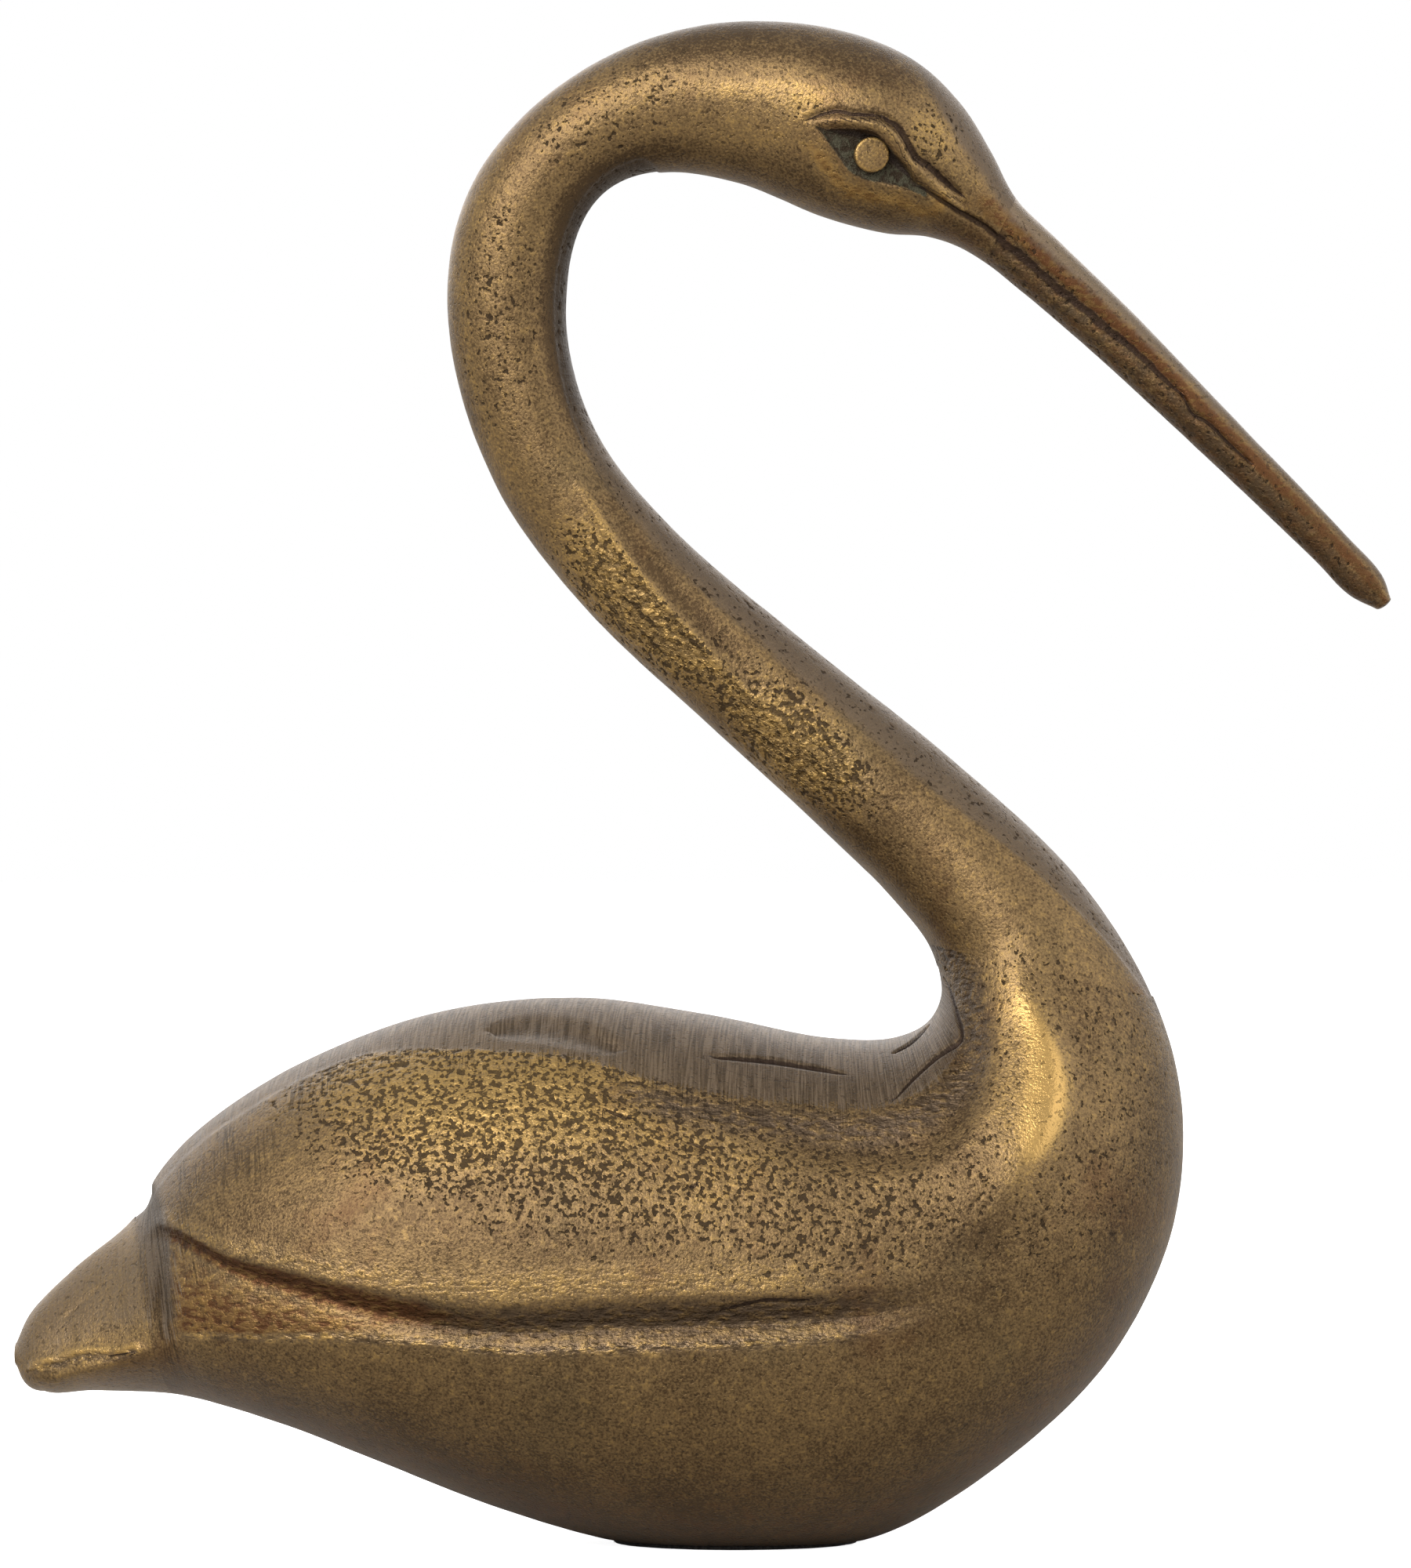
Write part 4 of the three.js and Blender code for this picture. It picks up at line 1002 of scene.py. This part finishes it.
for hand, node in ((1, "right_eye_stud"), (-1, "left_eye_stud")):
    mesh = turned_mesh(node, stud_profile, 72)
    places = vertex_table(mesh, "co")
    placed = (eye_seat + places @ np.stack([floor_x, floor_up, floor_out])) * (1, hand, 1)
    mesh.vertices.foreach_set("co", (placed * MM).ravel())
    if hand < 0:
        mesh.flip_normals()
    on_rim = soften((np.hypot(places[:, 0], places[:, 1]) - 1.2) / 0.3)
    on_face = places[:, 2] > EYE_GAP + 0.3
    masks = {**PLAIN, "rubbed_and_highlight": 0.2 + 0.5 * on_rim, "grime": np.where(on_face, -FAR, 1)}
    store(mesh, {key: np.broadcast_to(value, len(places)) for key, value in masks.items()})
    store(mesh, {"outward": vertex_table(mesh, "normal"), "skin": places * MM})
    stud = add_object(node, mesh)
    worn_smooth = {"Swell height": 0.02 * MM, "Pit depth": 0.05 * MM}
    evaluate_nodes(stud, cast_skin, {"Material": eye_brass, **worn_smooth})
    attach(stud, "root")
    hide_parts(node)

# The felt foot. An oval of black wool felt, die-cut and glued under the belly, so that the brass
# doesn't scratch what it stands on. Its cut edge is fuzzy with loose fibres.

FELT_LENGTH = 22.5
FELT_WIDTH = 13.4
FELT_THICKNESS = 0.4
FELT_MIDDLE = -0.46
FELT_BLACK = (0.010, 0.009, 0.008, 1)
FELT_GREY = (0.055, 0.050, 0.045, 1)
FIBRE_LENGTH = 0.8 * MM
FIBRE_THICKNESS = 0.018 * MM

rounding = np.linspace(0, math.pi, 9)
felt_profile = [(0, 0.0)] + [(r, 0.0) for r in np.linspace(0.04, 0.96, 24)]
felt_profile += [(0.97 + 0.03 * math.sin(t), FELT_THICKNESS / 2 * (1 - math.cos(t))) for t in rounding]
felt_profile += [(r, FELT_THICKNESS) for r in np.linspace(0.96, 0.04, 24)] + [(0, FELT_THICKNESS)]
felt_mesh = turned_mesh("felt_foot", felt_profile, 160)
across, aside, up = vertex_table(felt_mesh, "co").T
angle = np.arctan2(aside, across)
ragged = 1 + 0.004 * np.sin(7 * angle + 1) + 0.003 * np.sin(19 * angle) + 0.002 * np.sin(43 * angle + 2)
across = FELT_MIDDLE + across * FELT_LENGTH / 2 * ragged
placed = np.stack([across, aside * FELT_WIDTH / 2 * ragged, up], -1)
felt_mesh.vertices.foreach_set("co", (placed * MM).ravel())

felt_material = bpy.data.materials.new("black felt")
build = open_tree(felt_material)
matted = build.node("ShaderNodeTexCoord", output="Object").noise(0.35 * MM, 4, 0.7)
close_tree(build.node("ShaderNodeBsdfPrincipled", None, {
    "Base Color": build.plain(FELT_BLACK).toward(FELT_GREY, matted.rise(0.35, 0.7)),
    "Roughness": 0.9 + (matted - 0.5) * 0.1, "Normal": (matted * 0.1).bumped(), "Sheen Weight": 0.3,
}))
felt_mesh.materials.append(felt_material)
felt = add_object("felt_foot", felt_mesh)


def fibre_tree():
    """Geometry Nodes that scatter loose fibres over a sheet of felt, lying at any angle to it."""
    build, given = open_group("felt fibres", (
        ("Fibres per square metre", "NodeSocketFloat", 6.0e6), ("Seed", "NodeSocketInt", 5),
        ("Fibre length", "NodeSocketFloat", FIBRE_LENGTH),
        ("Fibre thickness", "NodeSocketFloat", FIBRE_THICKNESS),
    ))
    place = build.node("GeometryNodeInputPosition")
    height = build.node("ShaderNodeSeparateXYZ", None, {"Vector": place}, output="Z")
    on_cut_edge = build.node(
        "FunctionNodeCompare", {"data_type": "FLOAT", "operation": "LESS_THAN"},
        {0: build.math("ABSOLUTE", height - FELT_THICKNESS / 2 * MM), 1: FELT_THICKNESS * 0.49 * MM},
    )
    scattered = build.node("GeometryNodeDistributePointsOnFaces", None, {
        "Mesh": given["Geometry"], "Selection": on_cut_edge, "Density": given["Fibres per square metre"],
        "Seed": given["Seed"],
    })
    line = build.node("GeometryNodeCurveArc", None, {
        "Resolution": 5, "Radius": given["Fibre length"] * 0.6, "Sweep Angle": 1.4,
    })
    ring = build.node("GeometryNodeCurvePrimitiveCircle", None, {
        "Resolution": 3, "Radius": given["Fibre thickness"] * 0.5,
    })
    fibre = build.node("GeometryNodeCurveToMesh", None, {
        "Curve": line, "Profile Curve": ring, "Fill Caps": True,
    })
    turn = build.node("FunctionNodeRandomValue", {"data_type": "FLOAT_VECTOR"}, {
        0: (0.0, 0.0, 0.0), 1: (2 * math.pi, 2 * math.pi, 2 * math.pi), "Seed": given["Seed"],
    })
    size = build.node("FunctionNodeRandomValue", {"data_type": "FLOAT"}, {
        2: 0.35, 3: 1.0, "Seed": given["Seed"],
    }, output=1)
    placed = build.node("GeometryNodeInstanceOnPoints", None, {
        "Points": scattered, "Instance": fibre, "Rotation": turn, "Scale": size,
    })
    return close_group(placed, given["Material"])


fibres = add_object("felt_fibres", felt_mesh.copy())
evaluate_nodes(fibres, fibre_tree(), {"Material": felt_material})
for piece in (felt, fibres):
    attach(piece, "root")
    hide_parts("felt_foot")

# The stage: a wide floor and a background that the camera sees white. The brass mirrors the same
# background and a pale floor; other rays meet a dull floor and a dim room. The key lamp stands in
# front, high on the left, one is behind and one on the right. The camera looks level at the bird.

FLOOR_REACH = 4
WHITE = (1, 1, 1, 1)


def rays(build, *kinds):
    """1 for rays of these kinds and 0 for all others."""
    met = build.node("ShaderNodeLightPath", output=kinds[0])
    for kind in kinds[1:]:
        met = met.most(build.node("ShaderNodeLightPath", output=kind))
    return met


def matt(build, shade, glow=0.0):
    """A matt surface in this shade, with a white glow of its own."""
    return build.node("ShaderNodeBsdfPrincipled", None, {
        "Base Color": shade, "Roughness": 0.9, "Emission Color": WHITE, "Emission Strength": glow,
    })


corners = [(x * FLOOR_REACH, y * FLOOR_REACH, 0) for x, y in ((-1, -1), (1, -1), (1, 1), (-1, 1))]
floor_mesh = bpy.data.meshes.new("floor")
floor_mesh.from_pydata(corners, [], [(0, 1, 2, 3)])
floor_material = bpy.data.materials.new("pale floor")
build = open_tree(floor_material)
white = matt(build, (0.9, 0.9, 0.9, 1), 0.93)
pale = matt(build, (0.66, 0.64, 0.61, 1))
dull = matt(build, (0.50, 0.46, 0.41, 1))
mirrored = rays(build, "Is Glossy Ray", "Is Transmission Ray")
mixed = build.node("ShaderNodeMixShader", None, {0: mirrored, 1: dull, 2: pale})
seen = rays(build, "Is Camera Ray")
close_tree(build.node("ShaderNodeMixShader", None, {0: seen, 1: mixed, 2: white}))
floor_mesh.materials.append(floor_material)
floor = add_object("floor", floor_mesh)

world = bpy.data.worlds.new("dim room")
bpy.context.scene.world = world
build = open_tree(world)
seen = rays(build, "Is Camera Ray", "Is Glossy Ray", "Is Transmission Ray")
white = build.node("ShaderNodeBackground", None, {"Color": WHITE, "Strength": 1.0})
dim_room = build.node("ShaderNodeBackground", None, {"Color": (0.96, 0.97, 1.0, 1), "Strength": 0.42})
mixed = build.node("ShaderNodeMixShader", None, {0: seen, 1: dim_room, 2: white})
close_tree(mixed, "ShaderNodeOutputWorld")

AIM = Vector((0, 0, 70 * MM))
for name, place, size, watts, colour in (
    ("key", (-0.46, -0.86, 0.66), (0.85, 0.5), 13.5, (1.0, 0.97, 0.93)),
    ("behind", (-0.1, 1.0, 0.55), (1.8, 0.7), 7.5, (0.98, 0.97, 0.98)),
    ("fill", (0.95, -0.35, 0.55), (1.0, 1.0), 4.8, (1.0, 0.98, 0.95)),
):
    lamp = bpy.data.lights.new(name, "AREA")
    lamp.shape = "RECTANGLE"
    lamp.size, lamp.size_y = size
    lamp.energy = watts
    lamp.color = colour
    stand = add_object(name, lamp)
    stand.location = place
    stand.rotation_euler = (AIM - Vector(place)).to_track_quat("-Z", "Y").to_euler()
    stand.visible_camera = False

camera_data = bpy.data.cameras.new("camera")
camera_data.lens = 150
camera_data.sensor_fit = "VERTICAL"
camera_data.sensor_height = 36
camera = add_object("camera", camera_data)
camera.location = (VIEW_MIDDLE[0] * MM, -CAMERA_DISTANCE * MM, VIEW_MIDDLE[1] * MM)
camera.rotation_euler = (math.pi / 2, 0, 0)
bpy.context.scene.camera = camera
bpy.context.scene.view_settings.view_transform = "Standard"
